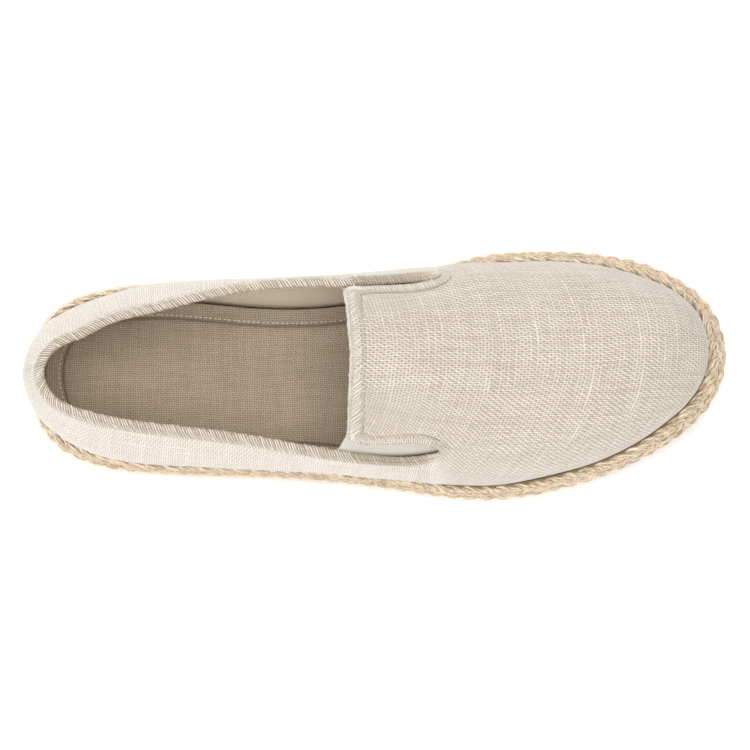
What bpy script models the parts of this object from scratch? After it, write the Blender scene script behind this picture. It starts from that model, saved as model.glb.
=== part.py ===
"""A slip-on canvas shoe with a jute braid round its sole, for the right foot.

Everything is modelled in metres, +Z up. +X points to the toe and +Y to the inner (medial) side.
The origin is on the floor, under the middle of the shoe's box.

The form is worked out like a shoe last. SHOE_SECTIONS holds one rib for each named place round the
sole's edge. Each rib starts at the upper's foot, on the sole, climbs through its widest point to the
top edge of the quarter, and over the vamp it goes on to the ridge along the middle of the foot.
A closed spline joins the ribs, so that any point of the upper is upper_point(place, climb).
"""

import math
from collections import namedtuple

import bmesh
import bpy
import numpy as np

MM = 0.001

# Driving sizes, in millimetres.
FIT_GAP = 0.3  # between pieces that touch
WALL = 1.8  # linen and its canvas lining together
OUTSOLE_THICKNESS = 4.5
TOE_SPRING = 8.0  # rise of the sole under the toe tip
TOE_SPRING_START_X = 48.0
ARCH_RISE = 1.2  # rise of the tread under the waist
ARCH_X = -28.0
ARCH_HALF_LENGTH = 26.0
SIDEWALL_INSET = 0.9  # the rubber stands back from the braid
BRAID_HALF_THICK = 2.4
BRAID_HALF_HEIGHT = 4.8
BRAID_LEDGE_DROP = 5.6  # the ledge that carries the braid, below the deck
THROAT_X = -12.0  # back edge of the vamp's apron
SLIT_END_X = 22.0  # front end of both elastic slits
HEEL_CENTRE_X = -96.0  # the ribs fan out from here round the heel
TOE_CENTRE_X = 98.0  # and from here round the toe
TOE_POLE_REACH = 14.0  # ribs that start this far in front of that centre end in one point
APRON_CORNER = 3.2  # radius of the apron's two corners
APRON_HOLLOW = 2.2  # how far the middle of its back edge lies forward
APRON_SLANT = 1.3  # how much further back its inner corner reaches
SLIT_WIDTH_OUTER = 6.2  # at the throat, on the outer side
SLIT_WIDTH_INNER = 1.3
GORE_THICKNESS = 1.0
GORE_LAP_QUARTER = 7.0  # how far the elastic reaches under the quarter
GORE_LAP_APRON = 6.0
GORE_BACK_OVERHANG = 4.5  # the elastic's back edge runs this far behind the throat, at the quarter
GORE_FRONT_OVERHANG = 5.0
INSOLE_GAP = 0.7
INSOLE_THICKNESS = 3.0
INSOLE_RIM_RISE = 3.0  # the stitched border curls up the wall by this much
INSOLE_RIM_WIDTH = 6.5

Section = namedtuple(
    "Section",
    "name x y braid_tilt side_out side_up edge_in edge_z edge_lean",
)
# x, y: outermost edge of the braid, seen from above.
# braid_tilt: degrees that the braid lies back against the upper.
# side_out, side_up: widest line of the wall, out from the upper's foot and above it.
# edge_in, edge_z, edge_lean: top edge of the quarter, or the vamp's shoulder in front of the slits:
# inwards from the foot, height above the floor, and degrees that the wall leans in there.
SHOE_SECTIONS = [
    Section("heel_back", -131.4, -1.0, 0, 4.2, 19, 4.6, 67, 30),
    Section("heel_corner_outer", -121.6, -25.5, 9, 1.8, 15, 8.3, 66, 30),
    Section("heel_side_outer", -104.2, -34.2, 12, 2.0, 14, 10.0, 64, 32),
    Section("seat_outer", -81.7, -37.6, 12, 2.4, 14, 9.8, 62, 33),
    Section("waist_outer", -45.0, -38.9, 12, 2.8, 13, 6.6, 59.5, 33),
    Section("throat_outer", -12.0, -41.0, 15, 3.0, 13, 3.0, 59, 34),
    Section("slit_middle_outer", 6.0, -43.3, 18, 2.4, 12, 4.7, 58.5, 36),
    Section("slit_end_outer", 22.0, -45.7, 20, 1.6, 11, 8.8, 57, 42),
    Section("ball_outer", 45.7, -46.9, 22, 0.5, 8, 9.6, 49, 48),
    Section("outer_toes", 68.2, -43.1, 23, 0.2, 7, 9.6, 45, 50),
    Section("little_toe", 90.8, -35.7, 25, 0.1, 5, 9.4, 42, 55),
    Section("toe_corner_outer", 113.4, -22.9, 38, 0.0, 5, 9.0, 40, 60),
    Section("toe_side_outer", 125.5, -10.8, 43, 0.0, 5, 8.8, 39.5, 61),
    Section("toe_tip", 131.4, 7.5, 45, 0.0, 5, 8.6, 39.5, 61),
    Section("toe_corner_inner", 123.7, 28.8, 36, 0.0, 6, 8.4, 41, 58),
    Section("big_toe", 98.9, 42.5, 23, 0.3, 7, 7.8, 44, 52),
    Section("ball_inner", 58.0, 46.9, 14, 0.3, 11, 6.5, 50, 45),
    Section("instep_inner", 38.0, 45.0, 11, 0.6, 12, 4.7, 54.5, 41),
    Section("slit_end_inner", 22.0, 40.8, 4, 3.0, 15, 2.3, 58, 37),
    Section("throat_inner", -12.0, 33.2, -5, 7.2, 19, -3.4, 60.5, 32),
    Section("waist_inner", -45.0, 32.0, -6, 7.0, 19, -2.4, 61, 27),
    Section("seat_front_inner", -62.0, 33.4, -2, 5.4, 17, 2.2, 62, 27),
    Section("seat_inner", -82.0, 34.6, 5, 3.1, 14, 8.4, 63, 30),
    Section("heel_side_inner", -104.8, 32.6, 10, 0.2, 10, 12.5, 65, 34),
    Section("heel_corner_inner", -122.4, 24.2, 9, 0.1, 12, 14.0, 66.5, 34),
]
TOE_ROW = next(i for i, row in enumerate(SHOE_SECTIONS) if row.name == "toe_tip")

Ridge = namedtuple("Ridge", "name x y z")
# The line along the top of the foot, from the heel's fan centre to the toe's.
RIDGE_LINE = [
    Ridge("heel_centre", -96.0, -1.0, 96.0),
    Ridge("ankle", -50.0, 2.0, 90.0),
    Ridge("throat", -12.0, 3.5, 77.0),
    Ridge("instep", 22.0, 4.5, 66.5),
    Ridge("ball", 50.0, 5.5, 57.5),
    Ridge("toes", 78.0, 6.5, 51.0),
    Ridge("toe_centre", 98.0, 7.5, 46.8),
]

Deck = namedtuple("Deck", "name x thickness")
# Thickness of the whole sole at its edge, from tread to the deck that the upper stands on.
SOLE_THICKNESS = [
    Deck("heel", -132.0, 24.0),
    Deck("seat", -80.0, 23.5),
    Deck("waist", -25.0, 21.5),
    Deck("ball", 45.0, 19.5),
    Deck("toe", 132.0, 17.5),
]

Block = namedtuple("Block", "name back front")
# Stretches of the tread that carry grooves across, by x.
TREAD_BLOCKS = [
    Block("heel", -122.0, -58.0),
    Block("forefoot", 4.0, 118.0),
]
Pad = namedtuple("Pad", "name x y radius")
# Round pads left plain in the tread: the flat spots the shoe stands on.
TREAD_PADS = [
    Pad("heel", -96.0, -1.5, 13.0),
    Pad("ball", 30.0, -1.0, 14.0),
]
TREAD_RIM = 8.0  # plain border round the tread
TREAD_PITCH = 8.0
GROOVE_WIDTH = 2.6
GROOVE_DEPTH = 1.8
ZIGZAG_STEP = 9.0
ZIGZAG_DEPTH = 3.0

# How finely the faceted solids are cut.
RIBS_HEEL_TO_THROAT = 18
RIBS_ALONG_SLIT = 6
RIBS_SLIT_TO_TOE = 15
BRAID_SIDES = 10

COLOURS = {
    # name: red, green, blue, roughness
    "linen": (0.75, 0.70, 0.61, 0.92),
    "elastic": (0.80, 0.77, 0.70, 0.85),
    "jute": (0.66, 0.50, 0.31, 0.95),
    "canvas": (0.42, 0.34, 0.25, 0.95),
    "foam_rubber": (0.80, 0.76, 0.67, 0.70),
    "tread_rubber": (0.70, 0.62, 0.48, 0.65),
}


class Spline:
    """A smooth cubic curve through its points, with continuous curvature, open or closed."""

    def __init__(self, knots, values, closed=False):
        self.knots = np.asarray(knots, float)
        self.values = np.asarray(values, float).reshape(len(values), -1)
        self.closed = closed
        count = len(self.values)
        gaps = np.diff(self.knots)
        system = np.zeros((count, count))
        right = np.zeros(self.values.shape)
        for i in range(count):
            before, after = (i - 1) % count, (i + 1) % count
            if not closed and i in (0, count - 1):
                other = 1 if i == 0 else count - 2
                gap = gaps[0] if i == 0 else -gaps[-1]
                system[i, i], system[i, other] = 2, 1
                right[i] = 3 * (self.values[other] - self.values[i]) / gap
                continue
            gap_in = gaps[i - 1] if i else gaps[-1]
            gap_out = gaps[i]
            system[i, before] = 1 / gap_in
            system[i, i] = 2 / gap_in + 2 / gap_out
            system[i, after] = 1 / gap_out
            right[i] = 3 * (self.values[i] - self.values[before]) / gap_in**2
            right[i] += 3 * (self.values[after] - self.values[i]) / gap_out**2
        self.slopes = np.linalg.solve(system, right)

    def __call__(self, at):
        """The values at one knot position."""
        if self.closed:
            at = self.knots[0] + (at - self.knots[0]) % (self.knots[-1] - self.knots[0])
        else:
            at = min(max(at, self.knots[0]), self.knots[-1])
        i = int(np.searchsorted(self.knots, at, side="right")) - 1
        i = min(max(i, 0), len(self.knots) - 2)
        gap = self.knots[i + 1] - self.knots[i]
        u = (at - self.knots[i]) / gap
        j = (i + 1) % len(self.values)
        return (
            (1 + 2 * u) * (1 - u) ** 2 * self.values[i]
            + u * (1 - u) ** 2 * gap * self.slopes[i]
            + u**2 * (3 - 2 * u) * self.values[j]
            + u**2 * (u - 1) * gap * self.slopes[j]
        )


def section_spline():
    """The closed spline through the ribs, its knots, and the knot at the toe tip."""
    places = np.array([[row.x, row.y] for row in SHOE_SECTIONS])
    steps = np.linalg.norm(np.roll(places, -1, axis=0) - places, axis=1)
    knots = np.concatenate([[0.0], np.cumsum(steps)])
    values = [list(row[1:]) for row in SHOE_SECTIONS]
    return Spline(knots, values, closed=True), knots[-1], knots[TOE_ROW]


SECTIONS, ROUND, TOE_PLACE = section_spline()
RIDGE = Spline([row.x for row in RIDGE_LINE], [[row.y, row.z] for row in RIDGE_LINE])
THICKNESS = Spline([row.x for row in SOLE_THICKNESS], [[row.thickness] for row in SOLE_THICKNESS])


def place_table(first, last, samples=800):
    """Places along one half of the sole's edge with the x of each, for looking a place up by its x."""
    places = np.linspace(first, last, samples)
    xs = np.array([SECTIONS(p)[0] for p in places])
    return np.maximum.accumulate(xs), places


OUTER_XS, OUTER_PLACES = place_table(0.0, TOE_PLACE)
INNER_XS, INNER_PLACES = place_table(ROUND, TOE_PLACE)


def place_at(x, side):
    """The place on the outer (side -1) or inner (side 1) half of the sole's edge at this x."""
    if side < 0:
        return float(np.interp(x, OUTER_XS, OUTER_PLACES))
    return float(np.interp(x, INNER_XS, INNER_PLACES))


def outward(place):
    """Unit vector pointing out of the sole's edge, seen from above."""
    step = 0.4
    run = SECTIONS(place + step)[:2] - SECTIONS(place - step)[:2]
    run = run / np.linalg.norm(run)
    return np.array([run[1], -run[0]])


def edge_point(place, inset):
    """A point this far inside the outermost edge, seen from above."""
    return SECTIONS(place)[:2] - outward(place) * inset


def tread_z(x):
    """Height of the tread's face: flat, with the arch's rise and the toe spring."""
    spring = TOE_SPRING * (max(0.0, x - TOE_SPRING_START_X) / (132.0 - TOE_SPRING_START_X)) ** 2
    off_arch = abs(x - ARCH_X) / ARCH_HALF_LENGTH
    arch = ARCH_RISE * (0.5 + 0.5 * math.cos(math.pi * off_arch)) if off_arch < 1 else 0.0
    return spring + arch


def deck_z(x):
    """Height of the deck, the top of the midsole that upper and insole stand on."""
    spring = TOE_SPRING * (max(0.0, x - TOE_SPRING_START_X) / (132.0 - TOE_SPRING_START_X)) ** 2
    return spring + float(THICKNESS(x)[0])


def braid_reach(place):
    """Half the braid's width and half its height where it stands, tilted back."""
    tilt = math.radians(SECTIONS(place)[2])
    across = math.hypot(BRAID_HALF_THICK * math.cos(tilt), BRAID_HALF_HEIGHT * math.sin(tilt))
    up = math.hypot(BRAID_HALF_THICK * math.sin(tilt), BRAID_HALF_HEIGHT * math.cos(tilt))
    return across, up


def foot_inset(place):
    """From the braid's outermost edge in to the upper's foot and the midsole's upper wall."""
    return 2 * braid_reach(place)[0] + FIT_GAP


def ledge_z(place):
    """Height of the ledge under the braid."""
    return deck_z(edge_point(place, foot_inset(place))[0]) - BRAID_LEDGE_DROP


def soft_limit(x, low, high, softness=9.0):
    """x held between two limits, with rounded corners."""
    x = high - softness * math.log1p(math.exp((high - x) / softness))
    return low + softness * math.log1p(math.exp((x - low) / softness))


def bezier(a, b, c, d, u):
    """A point of a cubic Bezier curve."""
    return (1 - u) ** 3 * a + 3 * u * (1 - u) ** 2 * b + 3 * u**2 * (1 - u) * c + u**3 * d


def upper_point(place, climb):
    """A point of the upper's outer face.

    climb is 0 at the foot, 1 at the widest line, 2 at the quarter's top edge and 3 at the ridge.
    """
    row = SECTIONS(place)
    side_out, side_up, edge_in, edge_z, edge_lean = row[3:]
    foot = edge_point(place, foot_inset(place))
    foot_z = deck_z(foot[0]) + FIT_GAP
    spine_x = soft_limit(row[0], HEEL_CENTRE_X, TOE_CENTRE_X)
    ridge_y, ridge_z = RIDGE(spine_x)
    slope = (RIDGE(spine_x + 1)[1] - RIDGE(spine_x - 1)[1]) / 2
    across = np.array([spine_x, ridge_y]) - foot
    reach = np.linalg.norm(across)
    across = across / reach
    lean = math.radians(edge_lean)
    # Way in from the foot, and height.
    joints = [
        np.array([0.0, foot_z]),
        np.array([-side_out, foot_z + side_up]),
        np.array([edge_in, edge_z]),
        np.array([reach, ridge_z]),
    ]
    headings = [
        np.array([-0.3 * side_out, side_up]),
        np.array([0.0, 1.0]),
        np.array([math.sin(lean), math.cos(lean)]),
        np.array([1.0, slope * across[0]]),
    ]
    piece = min(int(climb), 2)
    start, end = joints[piece], joints[piece + 1]
    handle = 0.37 * np.linalg.norm(end - start)
    leave = headings[piece] / np.linalg.norm(headings[piece]) * handle
    arrive = headings[piece + 1] / np.linalg.norm(headings[piece + 1]) * handle
    way_in, z = bezier(start, start + leave, end - arrive, end, climb - piece)
    return np.array([*(foot + across * way_in), z])


def upper_normal(place, climb):
    """The outward normal of the upper's face."""
    step = 0.02
    around = upper_point(place + 0.5, climb) - upper_point(place - 0.5, climb)
    low, high = max(climb - step, 0.0), min(climb + step, 3.0)
    up = upper_point(place, high) - upper_point(place, low)
    normal = np.cross(around, up)
    return normal / np.linalg.norm(normal)


def climb_past_edge(place, distance):
    """The climb at which the face is this far past the quarter's top edge, or short of it if negative."""
    climb, length = 2.0, 0.0
    step = 0.01 if distance > 0 else -0.01
    last = upper_point(place, climb)
    while length < abs(distance) and 0.05 < climb < 2.95:
        climb += step
        here = upper_point(place, climb)
        length += np.linalg.norm(here - last)
        last = here
    return climb


def rib_stations():
    """The x of each rib, from heel to toe, closer together round both ends."""
    heel, toe = SECTIONS(0.0)[0], SECTIONS(TOE_PLACE)[0]
    back = [
        heel + (THROAT_X - heel) * (1 - math.cos(math.pi / 2 * k / RIBS_HEEL_TO_THROAT))
        for k in range(RIBS_HEEL_TO_THROAT)
    ]
    slit = [
        THROAT_X + (SLIT_END_X - THROAT_X) * k / RIBS_ALONG_SLIT for k in range(RIBS_ALONG_SLIT)
    ]
    front = [
        SLIT_END_X + (toe - SLIT_END_X) * math.sin(math.pi / 2 * k / RIBS_SLIT_TO_TOE)
        for k in range(RIBS_SLIT_TO_TOE + 1)
    ]
    return back + slit + front


STATIONS = rib_stations()


def ring_places():
    """The places of all ribs, once round: heel, outer side, toe, inner side."""
    outer = [place_at(x, -1) for x in STATIONS]
    inner = [place_at(x, 1) for x in STATIONS[1:-1]]
    return outer + inner[::-1]


PLACES = ring_places()


def slit_width(x, side):
    """Width of the slit between apron and quarter: widest behind, closing at its front end."""
    widest = SLIT_WIDTH_OUTER if side < 0 else SLIT_WIDTH_INNER
    along = min(max((x - THROAT_X) / (SLIT_END_X - THROAT_X), 0.0), 1.0)
    return widest * (1 - along**2.6)


def new_object(name, colour, mesh_builder):
    """Makes a named object with its material from a function that fills a bmesh, in millimetres."""
    body = bmesh.new()
    mesh_builder(body)
    bmesh.ops.scale(body, vec=(MM, MM, MM), verts=body.verts)
    mesh = bpy.data.meshes.new(name)
    body.to_mesh(mesh)
    body.free()
    mesh.shade_smooth()
    mesh.set_sharp_from_angle(angle=math.radians(50))
    red, green, blue, roughness = COLOURS[colour]
    material = bpy.data.materials.get(colour) or bpy.data.materials.new(colour)
    material.use_nodes = True
    shader = material.node_tree.nodes["Principled BSDF"]
    shader.inputs["Base Color"].default_value = (red, green, blue, 1)
    shader.inputs["Roughness"].default_value = roughness
    shader.inputs["Metallic"].default_value = 0.0
    mesh.materials.append(material)
    made = bpy.data.objects.new(name, mesh)
    bpy.context.scene.collection.objects.link(made)
    return made


def add_wall(made, thickness):
    """Gives a one-sided shell its thickness, inwards."""
    wall = made.modifiers.new("wall", "SOLIDIFY")
    wall.thickness = thickness * MM
    wall.offset = -1
    wall.use_even_offset = False


def bridge(body, first, second):
    """Quads between two rows of vertices of the same length."""
    for k in range(len(first) - 1):
        corners = [first[k], first[k + 1], second[k + 1], second[k]]
        unique = list(dict.fromkeys(corners))
        if len(unique) > 2:
            body.faces.new(unique)


def strip_across(body, ring, upwards):
    """Fills a ring with strips from its outer to its inner side, one for each pair of ribs."""
    count = len(ring)
    for k in range(count // 2):
        corners = [ring[k], ring[(k + 1) % count], ring[count - k - 1], ring[-k % count]]
        unique = list(dict.fromkeys(corners))
        body.faces.new(unique if upwards else unique[::-1])


def ring_of(body, height, inset):
    """A closed ring of vertices along the sole's edge, height and inset being functions of the place."""
    ring = []
    for place in PLACES:
        x, y = edge_point(place, inset(place))
        ring.append(body.verts.new((x, y, height(x, place))))
    return ring


def join_rings(body, low, high):
    """The wall between two closed rings, facing out."""
    bridge(body, low + low[:1], high + high[:1])


def build_upper(body):
    """The one-sided shell of vamp and quarters: a ring round the shoe, and the vamp over it."""
    climbs = [0.0, 0.4, 0.8, 1.15, 1.45, 1.75, 2.0]
    rows = [[body.verts.new(upper_point(place, climb)) for place in PLACES] for climb in climbs]
    for low, high in zip(rows, rows[1:]):
        join_rings(body, low, high)
    top = rows[-1]
    # The vamp, in rows across the foot. Along the slits its ends stand clear of the quarter.
    shares = [0.0, 0.05, 0.13, 0.28, 0.48, 0.72]
    toe_pole = body.verts.new(upper_point(TOE_PLACE, 3.0))
    last_row = None
    for k in range(RIBS_HEEL_TO_THROAT, len(STATIONS) - 1):
        x = STATIONS[k]
        on_apron = k < RIBS_HEEL_TO_THROAT + RIBS_ALONG_SLIT
        halves = []
        for side in (-1, 1):
            half = []
            for share in shares:
                if share == 0.0 and not on_apron:
                    half.append(top[k] if side < 0 else top[-k])
                else:
                    half.append(body.verts.new(apron_point(x, side, share, on_apron)))
            halves.append(half)
        near_pole = x > TOE_CENTRE_X + TOE_POLE_REACH
        ridge = toe_pole if near_pole else body.verts.new(apron_point(x, 1, 1.0, on_apron))
        across = halves[0] + [ridge] + halves[1][::-1]
        if last_row:
            bridge(body, last_row, across)
        last_row = across
    tip_rib = [top[len(STATIONS) - 1]]
    for share in shares[1:]:
        tip_rib.append(body.verts.new(upper_point(TOE_PLACE, 2.0 + share)))
    bridge(body, last_row, tip_rib + [toe_pole] + tip_rib[::-1])
    bmesh.ops.recalc_face_normals(body, faces=body.faces)


def apron_point(x, side, share, on_apron):
    """A point of the vamp at a share of the way from its side edge to the ridge."""
    place = place_at(x, side)
    gap = slit_width(x, side) if on_apron else 0.0
    start = climb_past_edge(place, gap)
    if on_apron:
        half_width = float(np.linalg.norm(upper_point(place, start) - upper_point(place, 3.0)))
        from_edge = share * half_width
        corner = max(APRON_CORNER - from_edge, 0.0)
        shift = APRON_CORNER - math.sqrt(APRON_CORNER**2 - corner**2)
        slant = APRON_SLANT if side > 0 else 0.0
        shift += APRON_HOLLOW * share - slant * (1 - share)
        fade = 1 - (x - THROAT_X) / (SLIT_END_X - THROAT_X)
        x = x + shift * fade**2
        place = place_at(x, side)
    return upper_point(place, start + (3.0 - start) * share)


def build_gore(side):
    """A function that fills a bmesh with one elastic gore, under the slit of one side."""

    def fill(body):
        inset = WALL + FIT_GAP
        columns, lines = 9, 6
        rows = []
        for i in range(lines):
            across = i / (lines - 1)
            row = []
            for k in range(columns):
                back = THROAT_X + 1.5 - GORE_BACK_OVERHANG * (1 - across)
                x = back + (SLIT_END_X + GORE_FRONT_OVERHANG - back) * k / (columns - 1)
                place = place_at(x, side)
                low = climb_past_edge(place, -GORE_LAP_QUARTER)
                high = climb_past_edge(place, slit_width(x, side) + GORE_LAP_APRON)
                climb = low + (high - low) * across
                point = upper_point(place, climb) - upper_normal(place, climb) * inset
                row.append(body.verts.new(point))
            rows.append(row)
        for low, high in zip(rows, rows[1:]):
            bridge(body, low, high)
        if side > 0:
            bmesh.ops.reverse_faces(body, faces=body.faces)

    return fill


def build_insole(body):
    """The footbed: flat underneath, with a border that curls up along the wall."""

    def edge_inset(place):
        return foot_inset(place) + WALL + INSOLE_GAP

    def rim_rise(x):
        return INSOLE_RIM_RISE * (1 - 0.6 * min(max((x - 20) / 90, 0.0), 1.0))

    bottom = ring_of(body, lambda x, p: deck_z(x) + FIT_GAP, edge_inset)
    rim = ring_of(body, lambda x, p: deck_z(x) + INSOLE_THICKNESS + rim_rise(x), edge_inset)
    inner_rim = ring_of(
        body,
        lambda x, p: deck_z(x) + INSOLE_THICKNESS + 0.8 * rim_rise(x),
        lambda p: edge_inset(p) + 1.2,
    )
    crease = ring_of(
        body,
        lambda x, p: deck_z(x) + INSOLE_THICKNESS,
        lambda p: edge_inset(p) + INSOLE_RIM_WIDTH,
    )
    join_rings(body, bottom, rim)
    join_rings(body, rim, inner_rim)
    join_rings(body, inner_rim, crease)
    strip_across(body, crease, upwards=True)
    strip_across(body, bottom, upwards=False)


def build_braid(body):
    """The jute braid as a plain ring of its outer shape, standing on the midsole's ledge."""
    loops = []
    for place in PLACES:
        across, up = braid_reach(place)
        tilt = math.radians(SECTIONS(place)[2])
        x, y = edge_point(place, across)
        centre_z = ledge_z(place) + FIT_GAP + up
        out = outward(place)
        loop = []
        for k in range(BRAID_SIDES):
            turn = 2 * math.pi * k / BRAID_SIDES
            thick = BRAID_HALF_THICK * math.cos(turn)
            high = BRAID_HALF_HEIGHT * math.sin(turn)
            reach = thick * math.cos(tilt) - high * math.sin(tilt)
            z = centre_z + thick * math.sin(tilt) + high * math.cos(tilt)
            loop.append(body.verts.new((x + out[0] * reach, y + out[1] * reach, z)))
        loops.append(loop)
    for loop, following in zip(loops, loops[1:] + loops[:1]):
        bridge(body, loop + loop[:1], following + following[:1])
    bmesh.ops.recalc_face_normals(body, faces=body.faces)


def build_midsole(body):
    """The rubber wall between tread and deck, stepped in above for the braid."""
    low = ring_of(
        body,
        lambda x, p: tread_z(x) + OUTSOLE_THICKNESS + FIT_GAP,
        lambda p: SIDEWALL_INSET + 0.5,
    )
    ledge_outer = ring_of(body, lambda x, p: ledge_z(p), lambda p: SIDEWALL_INSET)
    ledge_inner = ring_of(body, lambda x, p: ledge_z(p), foot_inset)
    deck = ring_of(body, lambda x, p: deck_z(x), foot_inset)
    join_rings(body, low, ledge_outer)
    join_rings(body, ledge_outer, ledge_inner)
    join_rings(body, ledge_inner, deck)
    strip_across(body, deck, upwards=True)
    strip_across(body, low, upwards=False)


def build_outsole(body):
    """The tread plate, before its grooves are cut."""
    low = ring_of(body, lambda x, p: tread_z(x), lambda p: SIDEWALL_INSET + 1.6)
    middle = ring_of(body, lambda x, p: tread_z(x) + 1.0, lambda p: SIDEWALL_INSET + 0.7)
    top = ring_of(
        body, lambda x, p: tread_z(x) + OUTSOLE_THICKNESS, lambda p: SIDEWALL_INSET + 0.5
    )
    join_rings(body, low, middle)
    join_rings(body, middle, top)
    strip_across(body, top, upwards=True)
    strip_across(body, low, upwards=False)


def groove_runs(x):
    """The stretches, from y to y, of the tread groove that crosses the sole at this x."""
    outer = edge_point(place_at(x, -1), TREAD_RIM)[1]
    inner = edge_point(place_at(x, 1), TREAD_RIM)[1]
    for pad in TREAD_PADS:
        off = abs(x - pad.x)
        if off < pad.radius:
            half = math.sqrt(pad.radius**2 - off**2)
            return [(outer, pad.y - half), (pad.y + half, inner)]
    return [(outer, inner)]


def build_grooves(body):
    """The cutter: one zigzag bar for each stretch of tread groove."""
    for block in TREAD_BLOCKS:
        count = int((block.front - block.back) / TREAD_PITCH)
        for k in range(count + 1):
            x = block.back + k * TREAD_PITCH
            for start, end in groove_runs(x):
                points = max(2, round((end - start) / ZIGZAG_STEP) + 1)
                loops = []
                for j in range(points):
                    y = start + (end - start) * j / (points - 1)
                    zigzag = ZIGZAG_DEPTH * (j % 2)
                    loop = []
                    for dx, above in ((0, -3), (GROOVE_WIDTH, -3), (GROOVE_WIDTH, 1), (0, 1)):
                        height = GROOVE_DEPTH if above > 0 else above
                        at = x + dx + zigzag
                        loop.append(body.verts.new((at, y, tread_z(at) + height)))
                    loops.append(loop)
                for loop, following in zip(loops, loops[1:]):
                    bridge(body, loop + loop[:1], following + following[:1])
                body.faces.new(loops[0][::-1])
                body.faces.new(loops[-1])
    bmesh.ops.recalc_face_normals(body, faces=body.faces)


def cut_tread(outsole):
    """Cuts the grooves into the outsole with a cutter that is not part of the shoe."""
    cutter = new_object("tread_cutter", "tread_rubber", build_grooves)
    cutter.hide_render = True
    cutter.display_type = "WIRE"
    cut = outsole.modifiers.new("tread", "BOOLEAN")
    cut.operation = "DIFFERENCE"
    cut.solver = "EXACT"
    cut.object = cutter


def main():
    """Clears the scene and builds the shoe, one object for each piece."""
    for old in list(bpy.data.objects):
        bpy.data.objects.remove(old)
    upper = new_object("upper", "linen", build_upper)
    add_wall(upper, WALL)
    for name, side in (("gore_outer", -1), ("gore_inner", 1)):
        gore = new_object(name, "elastic", build_gore(side))
        add_wall(gore, GORE_THICKNESS)
    new_object("insole", "canvas", build_insole)
    new_object("jute_braid", "jute", build_braid)
    new_object("midsole", "foam_rubber", build_midsole)
    outsole = new_object("outsole", "tread_rubber", build_outsole)
    cut_tread(outsole)


main()
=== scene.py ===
"""The looks of a low slip-on shoe for the right foot: linen-look cloth, jute plait, canvas footbed.

Lengths in this script are millimetres, with +X to the toe, +Y to the inner side and +Z up, and
meshes are scaled to metres when they are made. The form repeats the part's own: ribs that stand
round the sole's edge, each climbing from the upper's foot over its widest line to the quarter's
top edge, and over the vamp on to the ridge along the top of the foot.
"""

import sys
import logging
import math
from collections.abc import Sequence
from dataclasses import dataclass, field
from enum import Enum
from functools import cache
from typing import NamedTuple

import bmesh
import bpy
import numpy as np
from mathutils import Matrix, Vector
from mathutils.bvhtree import BVHTree


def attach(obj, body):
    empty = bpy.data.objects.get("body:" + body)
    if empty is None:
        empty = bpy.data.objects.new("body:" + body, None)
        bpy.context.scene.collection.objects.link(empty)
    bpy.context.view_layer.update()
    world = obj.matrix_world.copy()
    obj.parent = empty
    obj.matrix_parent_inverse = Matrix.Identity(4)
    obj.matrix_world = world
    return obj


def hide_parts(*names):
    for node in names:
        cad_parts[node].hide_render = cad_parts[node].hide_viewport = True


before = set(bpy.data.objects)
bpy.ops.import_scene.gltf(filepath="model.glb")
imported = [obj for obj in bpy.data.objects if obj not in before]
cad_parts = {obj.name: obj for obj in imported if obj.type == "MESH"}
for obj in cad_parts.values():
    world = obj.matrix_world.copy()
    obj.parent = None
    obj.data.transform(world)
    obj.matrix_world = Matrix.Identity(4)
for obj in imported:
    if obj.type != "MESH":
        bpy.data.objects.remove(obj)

LOG = logging.getLogger("shoe")
MM = 0.001
TURN = 2 * math.pi
Array = np.ndarray
Pair = tuple[Array, Array]
Numbers = Array | float
Object = bpy.types.Object
Tree = bpy.types.NodeTree
Socket = bpy.types.NodeSocket
Colour = tuple[float, float, float]
Constant = float | str | tuple[float, ...]
Layers = dict[str, Array] | None
Settings = dict[str, str] | None


# ---- The shoe's form ----


class Section(NamedTuple):
    """One rib of the upper, at a named place round the sole's edge."""

    name: str
    x: float  # outermost edge of the braid, from above
    y: float
    braid_tilt: float  # degrees that the braid lies back against the upper
    side_out: float  # widest line of the wall, out from the upper's foot
    side_up: float  # and above it
    edge_in: float  # quarter's top edge, or the vamp's shoulder, in from the foot
    edge_z: float  # its height above the floor
    edge_lean: float  # degrees that the wall leans in there


class Ridge(NamedTuple):
    """A point of the line along the top of the foot."""

    name: str
    x: float
    y: float
    z: float


class Deck(NamedTuple):
    """Thickness of the whole sole at its edge, at one x."""

    name: str
    x: float
    thickness: float


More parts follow.
